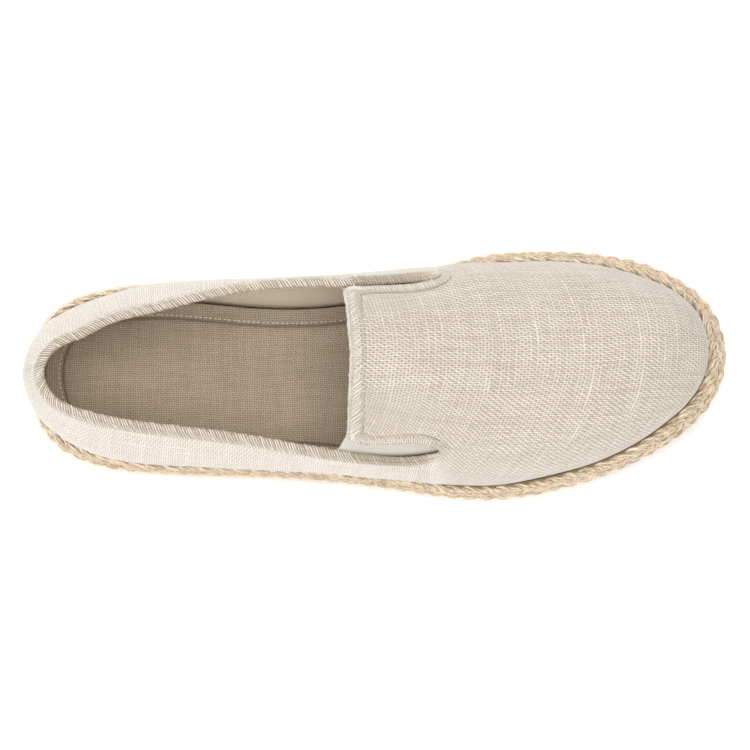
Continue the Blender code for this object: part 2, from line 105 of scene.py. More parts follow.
SECTIONS = (
    Section("heel_back", -131.4, -1.0, 0, 4.2, 19, 4.6, 67, 30),
    Section("heel_corner_outer", -121.6, -25.5, 9, 1.8, 15, 8.3, 66, 30),
    Section("heel_side_outer", -104.2, -34.2, 12, 2.0, 14, 10.0, 64, 32),
    Section("seat_outer", -81.7, -37.6, 12, 2.4, 14, 9.8, 62, 33),
    Section("waist_outer", -45.0, -38.9, 12, 2.8, 13, 6.6, 59.5, 33),
    Section("throat_outer", -12.0, -41.0, 15, 3.0, 13, 3.0, 59, 34),
    Section("slit_middle_outer", 6.0, -43.3, 18, 2.4, 12, 4.7, 58.5, 36),
    Section("slit_end_outer", 22.0, -45.7, 20, 1.6, 11, 8.8, 57, 42),
    Section("ball_outer", 45.7, -46.9, 22, 0.5, 8, 9.6, 49, 48),
    Section("outer_toes", 68.2, -43.1, 23, 0.2, 7, 9.6, 45, 50),
    Section("little_toe", 90.8, -35.7, 25, 0.1, 5, 9.4, 42, 55),
    Section("toe_corner_outer", 113.4, -22.9, 38, 0.0, 5, 9.0, 40, 60),
    Section("toe_side_outer", 125.5, -10.8, 43, 0.0, 5, 8.8, 39.5, 61),
    Section("toe_tip", 131.4, 7.5, 45, 0.0, 5, 8.6, 39.5, 61),
    Section("toe_corner_inner", 123.7, 28.8, 36, 0.0, 6, 8.4, 41, 58),
    Section("big_toe", 98.9, 42.5, 23, 0.3, 7, 7.8, 44, 52),
    Section("ball_inner", 58.0, 46.9, 14, 0.3, 11, 6.5, 50, 45),
    Section("instep_inner", 38.0, 45.0, 11, 0.6, 12, 4.7, 54.5, 41),
    Section("slit_end_inner", 22.0, 40.8, 4, 3.0, 15, 2.3, 58, 37),
    Section("throat_inner", -12.0, 33.2, -5, 7.2, 19, -3.4, 60.5, 32),
    Section("waist_inner", -45.0, 32.0, -6, 7.0, 19, -2.4, 61, 27),
    Section("seat_front_inner", -62.0, 33.4, -2, 5.4, 17, 2.2, 62, 27),
    Section("seat_inner", -82.0, 34.6, 5, 3.1, 14, 8.4, 63, 30),
    Section("heel_side_inner", -104.8, 32.6, 10, 0.2, 10, 12.5, 65, 34),
    Section("heel_corner_inner", -122.4, 24.2, 9, 0.1, 12, 14.0, 66.5, 34),
)
RIDGE_LINE = (
    Ridge("heel_centre", -96.0, -1.0, 96.0),
    Ridge("ankle", -50.0, 2.0, 90.0),
    Ridge("throat", -12.0, 3.5, 77.0),
    Ridge("instep", 22.0, 4.5, 66.5),
    Ridge("ball", 50.0, 5.5, 57.5),
    Ridge("toes", 78.0, 6.5, 51.0),
    Ridge("toe_centre", 98.0, 7.5, 46.8),
)
SOLE_THICKNESS = (
    Deck("heel", -132.0, 24.0),
    Deck("seat", -80.0, 23.5),
    Deck("waist", -25.0, 21.5),
    Deck("ball", 45.0, 19.5),
    Deck("toe", 132.0, 17.5),
)


class Side(Enum):
    """A side of the shoe, as the sign of its y."""

    OUTER = -1
    INNER = 1


class SmoothCurve:
    """A cubic curve through its points with continuous curvature, open or closed."""

    def __init__(self, knots: Sequence[float], values: Sequence, closed: bool = False) -> None:
        """Solves for the slope at each knot.

        Args:
            knots: Where the values stand. A closed curve has one more knot than values.
            values: One row of numbers for each knot.
            closed: Whether the curve runs back into its start.
        """
        self.knots = np.asarray(knots, float)
        self.values = np.asarray(values, float).reshape(len(values), -1)
        self.closed = closed
        count = len(self.values)
        system, right = np.zeros((count, count)), np.zeros(self.values.shape)
        for start, gap in enumerate(np.diff(self.knots)):
            end = (start + 1) % count
            steep = 3 * (self.values[end] - self.values[start]) / gap**2
            for here, other in ((start, end), (end, start)):
                system[here, here] += 2 / gap
                system[here, other] += 1 / gap
                right[here] += steep
        self.slopes = np.linalg.solve(system, right)

    def __call__(self, at: Numbers) -> Array:
        """The values at each position.

        Args:
            at: Positions of any shape.

        Returns:
            An array of that shape, with the row's numbers along one more axis.
        """
        at = np.asarray(at, float)
        first, last = self.knots[0], self.knots[-1]
        at = first + (at - first) % (last - first) if self.closed else np.clip(at, first, last)
        i = np.clip(np.searchsorted(self.knots, at, side="right") - 1, 0, len(self.knots) - 2)
        gap = (self.knots[i + 1] - self.knots[i])[..., None]
        u = (at - self.knots[i])[..., None] / gap
        j = (i + 1) % len(self.values)
        return (
            (1 + 2 * u) * (1 - u) ** 2 * self.values[i]
            + u * (1 - u) ** 2 * gap * self.slopes[i]
            + u**2 * (3 - 2 * u) * self.values[j]
            + u**2 * (u - 1) * gap * self.slopes[j]
        )


def smoothstep(low: float, high: float, at: Numbers) -> Array:
    """A smooth rise from 0 at low to 1 at high."""
    share = np.clip((np.asarray(at, float) - low) / (high - low), 0, 1)
    return share * share * (3 - 2 * share)


def unit(vectors: Array) -> Array:
    """The vectors along the last axis, each with length 1."""
    return vectors / np.maximum(np.linalg.norm(vectors, axis=-1, keepdims=True), 1e-12)


def raised(plan: Array, z: Array) -> Array:
    """Points at places seen from above, each at its height."""
    return np.concatenate([plan, z[:, None]], axis=1)


def run_length(lines: Array) -> Array:
    """Length from each line's first point up to each of its points."""
    steps = np.linalg.norm(np.diff(lines, axis=-2), axis=-1)
    return np.concatenate([np.zeros_like(steps[..., :1]), np.cumsum(steps, axis=-1)], axis=-1)


@dataclass
class ShoeForm:
    """The shoe's shape as functions of a place round its edge and of the climb up the upper."""

    fit_gap: float = 0.3
    toe_spring: float = 8.0
    spring_start_x: float = 48.0
    arch_rise: float = 1.2
    arch_x: float = -28.0
    arch_half_length: float = 26.0
    braid_half_thick: float = 2.4
    braid_half_height: float = 4.8
    ledge_drop: float = 5.6
    throat_x: float = -12.0
    slit_end_x: float = 22.0
    toe_tip_x: float = 132.0
    heel_centre_x: float = -96.0
    toe_centre_x: float = 98.0
    spine_soft: float = 9.0  # how softly the ribs start to fan out at those two
    handle: float = 0.37  # of a rib's bends, as a share of their span
    near: float = 0.4  # step along the edge that directions are measured over
    nudge: float = 0.02  # and up a rib
    slit_width: dict[Side, float] = field(default_factory=lambda: {Side.OUTER: 6.2, Side.INNER: 2.7})
    slit_slip: dict[Side, float] = field(default_factory=lambda: {Side.OUTER: 2.4, Side.INNER: -2.1})
    apron_corner: float = 3.2
    apron_hollow: float = 2.2
    apron_slant: float = 1.3
    apron_setback: float = 0.9
    wall: float = 1.8
    table_size: int = 1600

    def __post_init__(self) -> None:
        """Fits the smooth curves and the look-up tables from x to place."""
        spots = np.array([[row.x, row.y] for row in SECTIONS])
        steps = np.linalg.norm(np.roll(spots, -1, axis=0) - spots, axis=1)
        knots = np.concatenate([[0.0], np.cumsum(steps)])
        self.sections = SmoothCurve(knots, [row[1:] for row in SECTIONS], closed=True)
        self.round = float(knots[-1])
        self.toe_place = float(knots[[row.name for row in SECTIONS].index("toe_tip")])
        self.ridge = SmoothCurve([row.x for row in RIDGE_LINE], [row[2:] for row in RIDGE_LINE])
        self.thickness = SmoothCurve([row.x for row in SOLE_THICKNESS], [row[2:] for row in SOLE_THICKNESS])
        self.tables = {}
        for side, first in ((Side.OUTER, 0.0), (Side.INNER, self.round)):
            places = np.linspace(first, self.toe_place, self.table_size)
            self.tables[side] = (np.maximum.accumulate(self.sections(places)[:, 0]), places)

    def place_at(self, x: Numbers, side: Side) -> Array:
        """The place on one half of the sole's edge at this x."""
        xs, places = self.tables[side]
        return np.interp(x, xs, places)

    def outward(self, place: Numbers) -> Array:
        """Unit vectors pointing out of the sole's edge, from above."""
        run = unit(self.sections(place + self.near)[..., :2] - self.sections(place - self.near)[..., :2])
        return np.stack([run[..., 1], -run[..., 0]], axis=-1)

    def edge_point(self, place: Numbers, inset: Numbers) -> Array:
        """Points this far inside the outermost edge, from above."""
        inset = np.asarray(inset, float)
        return self.sections(place)[..., :2] - self.outward(place) * inset[..., None]

    def spring_z(self, x: Numbers) -> Array:
        """Rise of the sole towards the toe."""
        start = self.spring_start_x
        return self.toe_spring * (np.maximum(0.0, x - start) / (self.toe_tip_x - start)) ** 2

    def tread_z(self, x: Numbers) -> Array:
        """Height of the tread's face."""
        off_arch = np.clip(np.abs(x - self.arch_x) / self.arch_half_length, 0, 1)
        return self.spring_z(x) + self.arch_rise * (0.5 + 0.5 * np.cos(math.pi * off_arch))

    def deck_z(self, x: Numbers) -> Array:
        """Height of the deck that upper and insole stand on."""
        return self.spring_z(x) + self.thickness(x)[..., 0]

    def braid_reach(self, place: Numbers) -> Pair:
        """Half the braid's width and half its height where it stands, tilted back.

        Args:
            place: Places round the edge.

        Returns:
            The two halves.
        """
        tilt = np.radians(self.sections(place)[..., 2])
        thick, high = self.braid_half_thick, self.braid_half_height
        across = np.hypot(thick * np.cos(tilt), high * np.sin(tilt))
        return across, np.hypot(thick * np.sin(tilt), high * np.cos(tilt))

    def foot_inset(self, place: Numbers) -> Array:
        """From the outermost edge in to the upper's foot."""
        return 2 * self.braid_reach(place)[0] + self.fit_gap

    def ledge_z(self, place: Numbers) -> Array:
        """Height of the ledge under the braid."""
        return self.deck_z(self.edge_point(place, self.foot_inset(place))[..., 0]) - self.ledge_drop

    def spine_x(self, x: Array) -> Array:
        """The x at which a rib from the edge at x meets the ridge.

        Args:
            x: The edge's.

        Returns:
            The ridge's.
        """
        soft, heel, toe = self.spine_soft, self.heel_centre_x, self.toe_centre_x
        x = toe - soft * np.log1p(np.exp((toe - x) / soft))
        return heel + soft * np.log1p(np.exp((x - heel) / soft))

    def upper(self, place: Numbers, climb: Numbers) -> Array:
        """Points of the upper's outer face.

        Args:
            place: Places round the edge.
            climb: 0 at the foot, 1 at the widest line, 2 at the quarter's top edge, 3 at the ridge.

        Returns:
            One point for each pair.
        """
        place, climb = np.broadcast_arrays(np.asarray(place, float), np.asarray(climb, float))
        row = self.sections(place)
        side_out, side_up, edge_in, edge_z, lean = np.moveaxis(row[..., 3:8], -1, 0)
        foot = self.edge_point(place, self.foot_inset(place))
        foot_z = self.deck_z(foot[..., 0]) + self.fit_gap
        spine_x = self.spine_x(row[..., 0])
        ridge = self.ridge(spine_x)
        slope = (self.ridge(spine_x + 1)[..., 1] - self.ridge(spine_x - 1)[..., 1]) / 2
        across = np.stack([spine_x, ridge[..., 0]], axis=-1) - foot
        reach = np.linalg.norm(across, axis=-1)
        across = unit(across)
        lean = np.radians(lean)
        none = np.zeros_like(reach)
        widest = (-side_out, foot_z + side_up)
        joints = np.array([(none, foot_z), widest, (edge_in, edge_z), (reach, ridge[..., 1])])
        over = (none + 1, slope * across[..., 0])
        headings = np.array(
            [(-0.3 * side_out, side_up), (none, none + 1), (np.sin(lean), np.cos(lean)), over]
        )
        joints, headings = np.moveaxis(joints, 1, -1), unit(np.moveaxis(headings, 1, -1))
        piece = np.clip(climb.astype(int), 0, 2)
        start, leave, end, arrive = (
            np.take_along_axis(rows, which[None, ..., None], axis=0)[0]
            for which in (piece, piece + 1)
            for rows in (joints, headings)
        )
        handle = self.handle * np.linalg.norm(end - start, axis=-1, keepdims=True)
        leave, arrive = start + leave * handle, end - arrive * handle
        u = (climb - piece)[..., None]
        flat = (1 - u) ** 3 * start + 3 * u * (1 - u) ** 2 * leave
        flat = flat + 3 * u**2 * (1 - u) * arrive + u**3 * end
        plan = foot + across * flat[..., :1]
        return np.concatenate([plan, flat[..., 1:]], axis=-1)

    def upper_normal(self, place: Numbers, climb: Numbers) -> Array:
        """Outward normals of the upper's face.

        Args:
            place: Places round the edge.
            climb: Climbs on those ribs.

        Returns:
            One unit vector for each.
        """
        around = self.upper(place + self.near, climb) - self.upper(place - self.near, climb)
        high, low = np.minimum(climb + self.nudge, 3), np.maximum(climb - self.nudge, 0)
        return unit(np.cross(around, self.upper(place, high) - self.upper(place, low)))

    def climb_at_distance(self, place: Array, distance: Array) -> Array:
        """The climb at which the face is this far past the quarter's top edge.

        Args:
            place: Places round the edge.
            distance: The distances, below 0 where they are short of it.

        Returns:
            One climb for each place.
        """
        steps = np.linspace(0, 3, 361)
        lengths = run_length(self.upper(place[:, None], steps[None]))
        lengths -= lengths[:, 240:241]  # where the climb is 2
        wanted = np.broadcast_to(distance, place.shape)
        return np.array([np.interp(w, line, steps) for w, line in zip(wanted, lengths)])

    def slit_share(self, x: Numbers) -> Array:
        """How far along the slit this x is: 0 at the throat and 1 at the slit's end."""
        return (x - self.throat_x) / (self.slit_end_x - self.throat_x)

    def slit_bow(self, x: Numbers, side: Side) -> Array:
        """How far the quarter's edge has slipped down the wall; the inner one has crept up instead.

        Args:
            x: Places along the shoe.
            side: The side.

        Returns:
            The slip at each.
        """
        along = np.clip(self.slit_share(x), -0.6, 1)
        start, full = (0.05, 0.8) if side is Side.OUTER else (-0.6, 0.1)
        return self.slit_slip[side] * smoothstep(start, full, along) * np.sqrt(1 - np.clip(along, 0, 1) ** 8)

    def slit_gap(self, x: Numbers, side: Side) -> Array:
        """Width of the slit between apron and quarter at this x."""
        gap = self.slit_width[side] * (1 - np.clip(self.slit_share(x), 0, 1) ** 5)
        return gap if side is Side.OUTER else gap - self.slit_bow(x, side)

    def apron_point(self, x: Array, side: Side, share: Array) -> Pair:
        """The place and climb of points of the vamp, by their share of the way up to the ridge.

        Args:
            x: One station along the shoe for each row of points.
            side: The half of the vamp.
            share: 0 at the vamp's side edge and 1 at the ridge.

        Returns:
            Places and climbs, each with a row for each x and a column for each share.
        """
        x, share = np.asarray(x, float)[:, None], np.asarray(share, float)[None]
        start = self.climb_at_distance(self.place_at(x[:, 0], side), self.slit_gap(x[:, 0], side))
        along = np.clip(self.slit_share(x), 0, 1)
        place = self.place_at(x[:, 0], side)
        width = np.linalg.norm(self.upper(place, start) - self.upper(place, 3.0), axis=-1)[:, None]
        corner = np.maximum(self.apron_corner - share * width, 0.0)
        shift = self.apron_corner - np.sqrt(self.apron_corner**2 - corner**2)
        slant = self.apron_slant if side is Side.INNER else 0.0
        shift = shift + self.apron_setback + self.apron_hollow * share - slant * (1 - share)
        place = self.place_at(x + shift * (1 - along) ** 2, side)
        return place, start[:, None] + (3.0 - start[:, None]) * share


# ---- Meshes ----


@dataclass
class MeshParts:
    """Points, faces and per-point data of a mesh that is being put together."""

    points: list[Array] = field(default_factory=list)
    faces: list[Array] = field(default_factory=list)
    slots: list[Array] = field(default_factory=list)
    maps: dict[str, list[Array]] = field(default_factory=dict)
    values: dict[str, list[Array]] = field(default_factory=dict)
    count: int = 0

    def add_points(self, points: Array, maps: Layers = None, values: Layers = None) -> int:
        """Adds points.

        Args:
            points: Their places.
            maps: Their coordinates on each map.
            values: The numbers that they carry.

        Returns:
            Index of the first one.
        """
        first = self.count
        self.points.append(points.reshape(-1, 3))
        self.count += len(self.points[-1])
        for kept, given, width in ((self.maps, maps, (-1, 2)), (self.values, values, -1)):
            for name, data in (given or {}).items():
                kept.setdefault(name, []).append(data.reshape(width))
        return first

    def add_faces(self, faces: Array, slot: int = 0) -> None:
        """Adds faces of four corners, given by point indices."""
        self.faces.append(faces.reshape(-1, 4))
        self.slots.append(np.full(len(self.faces[-1]), slot))

    def add_stack(self, rings: Array, maps: Layers = None, values: Layers = None) -> None:
        """Adds a closed body of rings of ribs, from its lowest ring up.

        Args:
            rings: Points by ring and rib.
            maps: Their coordinates on each map.
            values: The numbers that they carry.
        """
        self.add_points(rings, maps, values)
        index = np.arange(rings[..., 0].size).reshape(rings.shape[:2])
        self.add_faces(grid_faces(index, wrap=True))
        half = rings.shape[1] // 2
        for ring, step in ((index[-1], 1), (index[0], -1)):
            across = ring[::-1]
            strip = [ring[:half], ring[1 : half + 1], across[1 : half + 1], across[:half]]
            self.add_faces(np.stack(strip, axis=1)[:, ::step])

    def build(self, name: str, *finishes: "Finish") -> Object:
        """Makes the object, with repeated corners dropped so that thin quads become triangles.

        Args:
            name: Its name.
            finishes: The finish of each slot.

        Returns:
            The object.
        """
        quads, slots = np.concatenate(self.faces), np.concatenate(self.slots)
        corners = [list(dict.fromkeys(quad)) for quad in quads.tolist()]
        keep = [k for k, face in enumerate(corners) if len(face) > 2]
        made = mesh_object(name, np.concatenate(self.points), [], [corners[k] for k in keep])
        mesh = made.data
        mesh.polygons.foreach_set("material_index", slots[keep].astype(np.int32))
        loops = np.concatenate([corners[k] for k in keep])
        for label, data in self.maps.items():
            layer = mesh.uv_layers.new(name=label)
            layer.data.foreach_set("uv", np.concatenate(data)[loops].astype(np.float32).ravel())
        for label, data in self.values.items():
            layer = mesh.attributes.new(label, "FLOAT", "POINT")
            layer.data.foreach_set("value", np.concatenate(data).astype(np.float32))
        for finish in finishes:
            mesh.materials.append(finish.material())
        return made


def link(made: Object) -> Object:
    """Puts an object into the scene and returns it."""
    bpy.context.scene.collection.objects.link(made)
    return made


def mesh_object(name: str, points: Array, edges: Sequence, faces: Sequence, vectors: Layers = None) -> Object:
    """Makes a smooth mesh object.

    Args:
        name: Its name.
        points: Its points, in mm.
        edges: The ends of its bare edges.
        faces: The corners of its faces.
        vectors: Vectors that the points carry, by name.

    Returns:
        The object.
    """
    mesh = bpy.data.meshes.new(name)
    mesh.from_pydata((np.asarray(points) * MM).tolist(), edges, faces)
    mesh.shade_smooth()
    for label, data in (vectors or {}).items():
        layer = mesh.attributes.new(label, "FLOAT_VECTOR", "POINT")
        layer.data.foreach_set("vector", data.astype(np.float32).ravel())
    return link(bpy.data.objects.new(name, mesh))


def grid_faces(index: Array, wrap: bool = False) -> Array:
    """Faces over a grid of point indices, in rows.

    Args:
        index: Point indices, by row and column.
        wrap: Whether the last column joins the first.

    Returns:
        Four indices for each face, facing out when rows go up and columns go round anticlockwise.
    """
    if wrap:
        index = np.concatenate([index, index[:, :1]], axis=1)
    return np.stack([index[:-1, :-1], index[:-1, 1:], index[1:, 1:], index[1:, :-1]], axis=-1)


def point_normals(points: Array, faces: Array) -> Array:
    """Normals of a mesh's points.

    Args:
        points: The points.
        faces: Four corners for each face.

    Returns:
        A unit vector for each point.
    """
    normals = np.zeros_like(points)
    face = np.cross(points[faces[:, 2]] - points[faces[:, 0]], points[faces[:, 3]] - points[faces[:, 1]])
    for corner in range(4):
        np.add.at(normals, faces[:, corner], face)
    return unit(normals)


def clean_normals(made: Object) -> Object:
    """Turns all faces of closed bodies outward.

    Args:
        made: The object.

    Returns:
        The object.
    """
    body = bmesh.new()
    body.from_mesh(made.data)
    bmesh.ops.recalc_face_normals(body, faces=body.faces)
    body.to_mesh(made.data)
    body.free()
    return made


def finish_piece(made: Object, slot: str, *nodes: str) -> None:
    """Makes a piece ride on the shoe and hides the CAD nodes that it replaces.

    Args:
        made: The piece.
        slot: The record's material slot. Not used.
        nodes: CAD nodes that it stands for.
    """
    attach(made, "root")
    if nodes:
        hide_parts(*nodes)
    LOG.info("%s: %d triangles", made.name, sum(len(face.vertices) - 2 for face in made.data.polygons))


# ---- Node trees ----


def used(sockets: Sequence[Socket], name: str = "") -> Socket:
    """The first socket in use, of that name if one is given."""
    return next(s for s in sockets if s.enabled and name in ("", s.name))


def plug(value: "Wire | Constant", socket: Socket) -> None:
    """Links a wire to a socket, or sets the socket to a constant.

    Args:
        value: The wire or the constant. A colour comes without its alpha.
        socket: An input socket.
    """
    if isinstance(value, Wire):
        value.tree.links.new(value.socket, socket)
    else:
        socket.default_value = (*value, 1.0) if socket.type == "RGBA" else value


class Wire:
    """A value in a node tree, which arithmetic turns into Math nodes."""

    def __init__(self, tree: Tree, socket: Socket) -> None:
        """Holds an output socket and the tree that it is in."""
        self.tree = tree
        self.socket = socket

    def math(self, operation: str, *others: "Wire | float", kind: str = "ShaderNodeMath") -> "Wire":
        """A node that works on this value and others.

        Args:
            operation: What it does.
            others: Its further inputs, in order.
            kind: The node's type.

        Returns:
            Its result.
        """
        node = self.tree.nodes.new(kind)
        node.operation = operation
        for socket, value in zip([s for s in node.inputs if s.enabled], (self, *others)):
            plug(value, socket)
        return Wire(self.tree, used(node.outputs))

    def __add__(self, other: "Wire | float") -> "Wire":
        """This value plus another."""
        return self.math("ADD", other)

    def __sub__(self, other: "Wire | float") -> "Wire":
        """This value less another."""
        return self.math("SUBTRACT", other)

    def __mul__(self, other: "Wire | float") -> "Wire":
        """This value times another."""
        return self.math("MULTIPLY", other)

    def __truediv__(self, other: "Wire | float") -> "Wire":
        """This value over another."""
        return self.math("DIVIDE", other)

    def moved(self, by: "Wire") -> "Wire":
        """This vector plus another."""
        return self.math("ADD", by, kind="ShaderNodeVectorMath")

    def scaled(self, by: "Wire") -> "Wire":
        """This vector times a number."""
        return self.math("SCALE", by, kind="ShaderNodeVectorMath")

    def wave(self, length: float) -> "Wire":
        """Swings between 0 and 1 as this value runs on, once in each length."""
        return (self * (TURN / length)).math("SINE") * 0.5 + 0.5

    def ramp(self, low: float, high: float, start: float = 0.0, end: float = 1.0) -> "Wire":
        """A smooth change as this value goes from low to high.

        Args:
            low: Where the change starts.
            high: Where it is done.
            start: The result at low.
            end: The result at high.

        Returns:
            The result.
        """
        limits = {"From_Min": low, "From_Max": high, "To_Min": start, "To_Max": end}
        smooth = {"interpolation_type": "SMOOTHSTEP"}
        return Nodes(self.tree).wire("ShaderNodeMapRange", smooth, Value=self, **limits)


class Nodes:
    """A node tree that is being put together."""

    def __init__(self, tree: Tree) -> None:
        """Holds the tree."""
        self.tree = tree

    def node(self, kind: str, settings: Settings = None, **inputs: Wire | Constant) -> bpy.types.Node:
        """A new node.

        Args:
            kind: Its type.
            settings: Its properties, which settle what sockets it has.
            inputs: Its inputs, named with _ for a space.

        Returns:
            The node.
        """
        made = self.tree.nodes.new(kind)
        for name, value in (settings or {}).items():
            setattr(made, name, value)
        for name, value in inputs.items():
            plug(value, used(made.inputs, name.replace("_", " ")))
        return made

    def wire(self, kind: str, settings: Settings = None, output: str = "", **inputs: Wire | Constant) -> Wire:
        """One output of a new node: the named one, or else the first."""
        return Wire(self.tree, used(self.node(kind, settings, **inputs).outputs, output))

    def parts(self, kind: str, **inputs: Wire) -> list[Wire]:
        """All the outputs of a new node."""
        return [Wire(self.tree, socket) for socket in self.node(kind, **inputs).outputs]


class GeometryTree(Nodes):
    """A Geometry Nodes tree with named inputs."""

    def __init__(self, name: str, inputs: dict[str, str]) -> None:
        """Starts a tree.

        Args:
            name: The tree's name.
            inputs: The type of each input by its name, to which Finish, a material, is added.
        """
        super().__init__(bpy.data.node_groups.new(name, "GeometryNodeTree"))
        face = self.tree.interface
        face.new_socket("Geometry", in_out="OUTPUT", socket_type="NodeSocketGeometry")
        for label, kind in {**inputs, "Finish": "Material"}.items():
            face.new_socket(label, in_out="INPUT", socket_type=f"NodeSocket{kind}")
        given = self.node("NodeGroupInput").outputs
        self.given = {socket.name: Wire(self.tree, socket) for socket in given}

    def vector(self, name: str) -> Wire:
        """A vector that the line carries at its points."""
        return self.wire("GeometryNodeInputNamedAttribute", {"data_type": "FLOAT_VECTOR"}, Name=name)

    def keep(self, shape: Wire, name: str, value: Wire, domain: str = "POINT") -> Wire:
        """The shape, with a number stored on it by name."""
        store = {"data_type": "FLOAT", "domain": domain}
        return self.wire("GeometryNodeStoreNamedAttribute", store, Geometry=shape, Name=name, Value=value)

    def end(self, shape: Wire) -> Tree:
        """Ends the tree: the shape is made real and takes its finish.

        Args:
            shape: What the tree has made.

        Returns:
            The tree.
        """
        real = self.wire("GeometryNodeRealizeInstances", Geometry=shape)
        done = self.wire("GeometryNodeSetMaterial", Geometry=real, Material=self.given["Finish"])
        plug(done, self.node("NodeGroupOutput").inputs[0])
        return self.tree


def run_tree(made: Object, tree: Tree, inputs: dict[str, object]) -> Object:
    """Runs a Geometry Nodes tree on an object once, and keeps the result as its plain mesh.

    Args:
        made: The object that carries the input mesh.
        tree: The node tree.
        inputs: Values of its sockets, by name.

    Returns:
        The same object, with the result as its mesh and no modifier.
    """
    modifier = made.modifiers.new("nodes", "NODES")
    modifier.node_group = tree
    for item in tree.interface.items_tree:
        if item.in_out == "INPUT" and item.name in inputs:
            modifier[item.identifier] = inputs[item.name]
    graph = bpy.context.evaluated_depsgraph_get()
    mesh = bpy.data.meshes.new_from_object(made.evaluated_get(graph), depsgraph=graph)
    made.modifiers.remove(modifier)
    made.data = mesh
    mesh.name = made.name
    mesh.shade_smooth()
    return made


# ---- Finishes ----


class Shader(Nodes):
    """A procedural material that is being put together."""

    gloss = 0.25
    sheen_roughness = 0.6

    def __init__(self, name: str, roughness: float, sheen: float = 0.0) -> None:
        """Starts from a Principled shader.

        Args:
            name: The material's name.
            roughness: The same all over.
            sheen: Weight of the soft glow of fibres at a grazing angle.
        """
        self.material = bpy.data.materials.new(name)
        self.material.use_nodes = True
        super().__init__(self.material.node_tree)
        self.surface = self.tree.nodes["Principled BSDF"].inputs
        plug(roughness, self.surface["Roughness"])
        plug(self.gloss, self.surface["Specular IOR Level"])
        plug(sheen, self.surface["Sheen Weight"])
        plug(self.sheen_roughness, self.surface["Sheen Roughness"])

    def value(self, attribute: str) -> Wire:
        """A value that the mesh carries at its points."""
        return self.wire("ShaderNodeAttribute", {"attribute_name": attribute}, "Fac")

    def place(self) -> Wire:
        """Object coordinates, in metres."""
        return self.wire("ShaderNodeTexCoord", output="Object")

    def map(self, name: str) -> tuple[Wire, Wire]:
        """The two coordinates of one of the mesh's maps."""
        u, v, _ = self.parts("ShaderNodeSeparateXYZ", Vector=self.wire("ShaderNodeUVMap", {"uv_map": name}))
        return u, v

    def vector(self, x: "Wire | float", y: "Wire | float", z: "Wire | float" = 0.0) -> Wire:
        """Three values as one vector."""
        return self.wire("ShaderNodeCombineXYZ", X=x, Y=y, Z=z)

    def grain(
        self, at: Wire, scale: float, detail: float = 1.0, rough: float = 0.5, output: str = "Fac"
    ) -> Wire:
        """Noise of about 0 to 1, as one number, or as three by the output Color."""
        inputs = {"Vector": at, "Scale": scale, "Detail": detail, "Roughness": rough}
        return self.wire("ShaderNodeTexNoise", None, output, **inputs)

    def blend(self, share: Wire, dark: "Colour | Wire", light: "Colour | Wire") -> Wire:
        """A colour between two, by share."""
        return self.wire("ShaderNodeMix", {"data_type": "RGBA"}, Factor=share, A=dark, B=light)

    def paint(self, colour: "Wire | Colour") -> None:
        """Gives the surface its colour."""
        plug(colour, self.surface["Base Color"])

    def bump(self, height: Wire, depth: float, strength: float = 1.0) -> None:
        """Presses a height into the surface. A height of 1 stands for the depth, in mm."""
        pressed = self.wire("ShaderNodeBump", Height=height, Distance=depth * MM, Strength=strength)
        plug(pressed, self.surface["Normal"])


@dataclass(frozen=True)
class Finish:
    """One even colour. Other finishes lay a pattern between a dark and a light colour."""

    name: str
    light: Colour
    dark: Colour = (0.0, 0.0, 0.0)
    roughness: float = 0.95
    sheen: float = 0.0

    @cache
    def material(self) -> bpy.types.Material:
        """The material, which is made when it is first asked for.

        Returns:
            The material.
        """
        made = Shader(self.name, self.roughness, self.sheen)
        self.dress(made)
        return made.material

    def dress(self, made: Shader) -> None:
        """Puts the finish into a material."""
        made.paint(self.light)


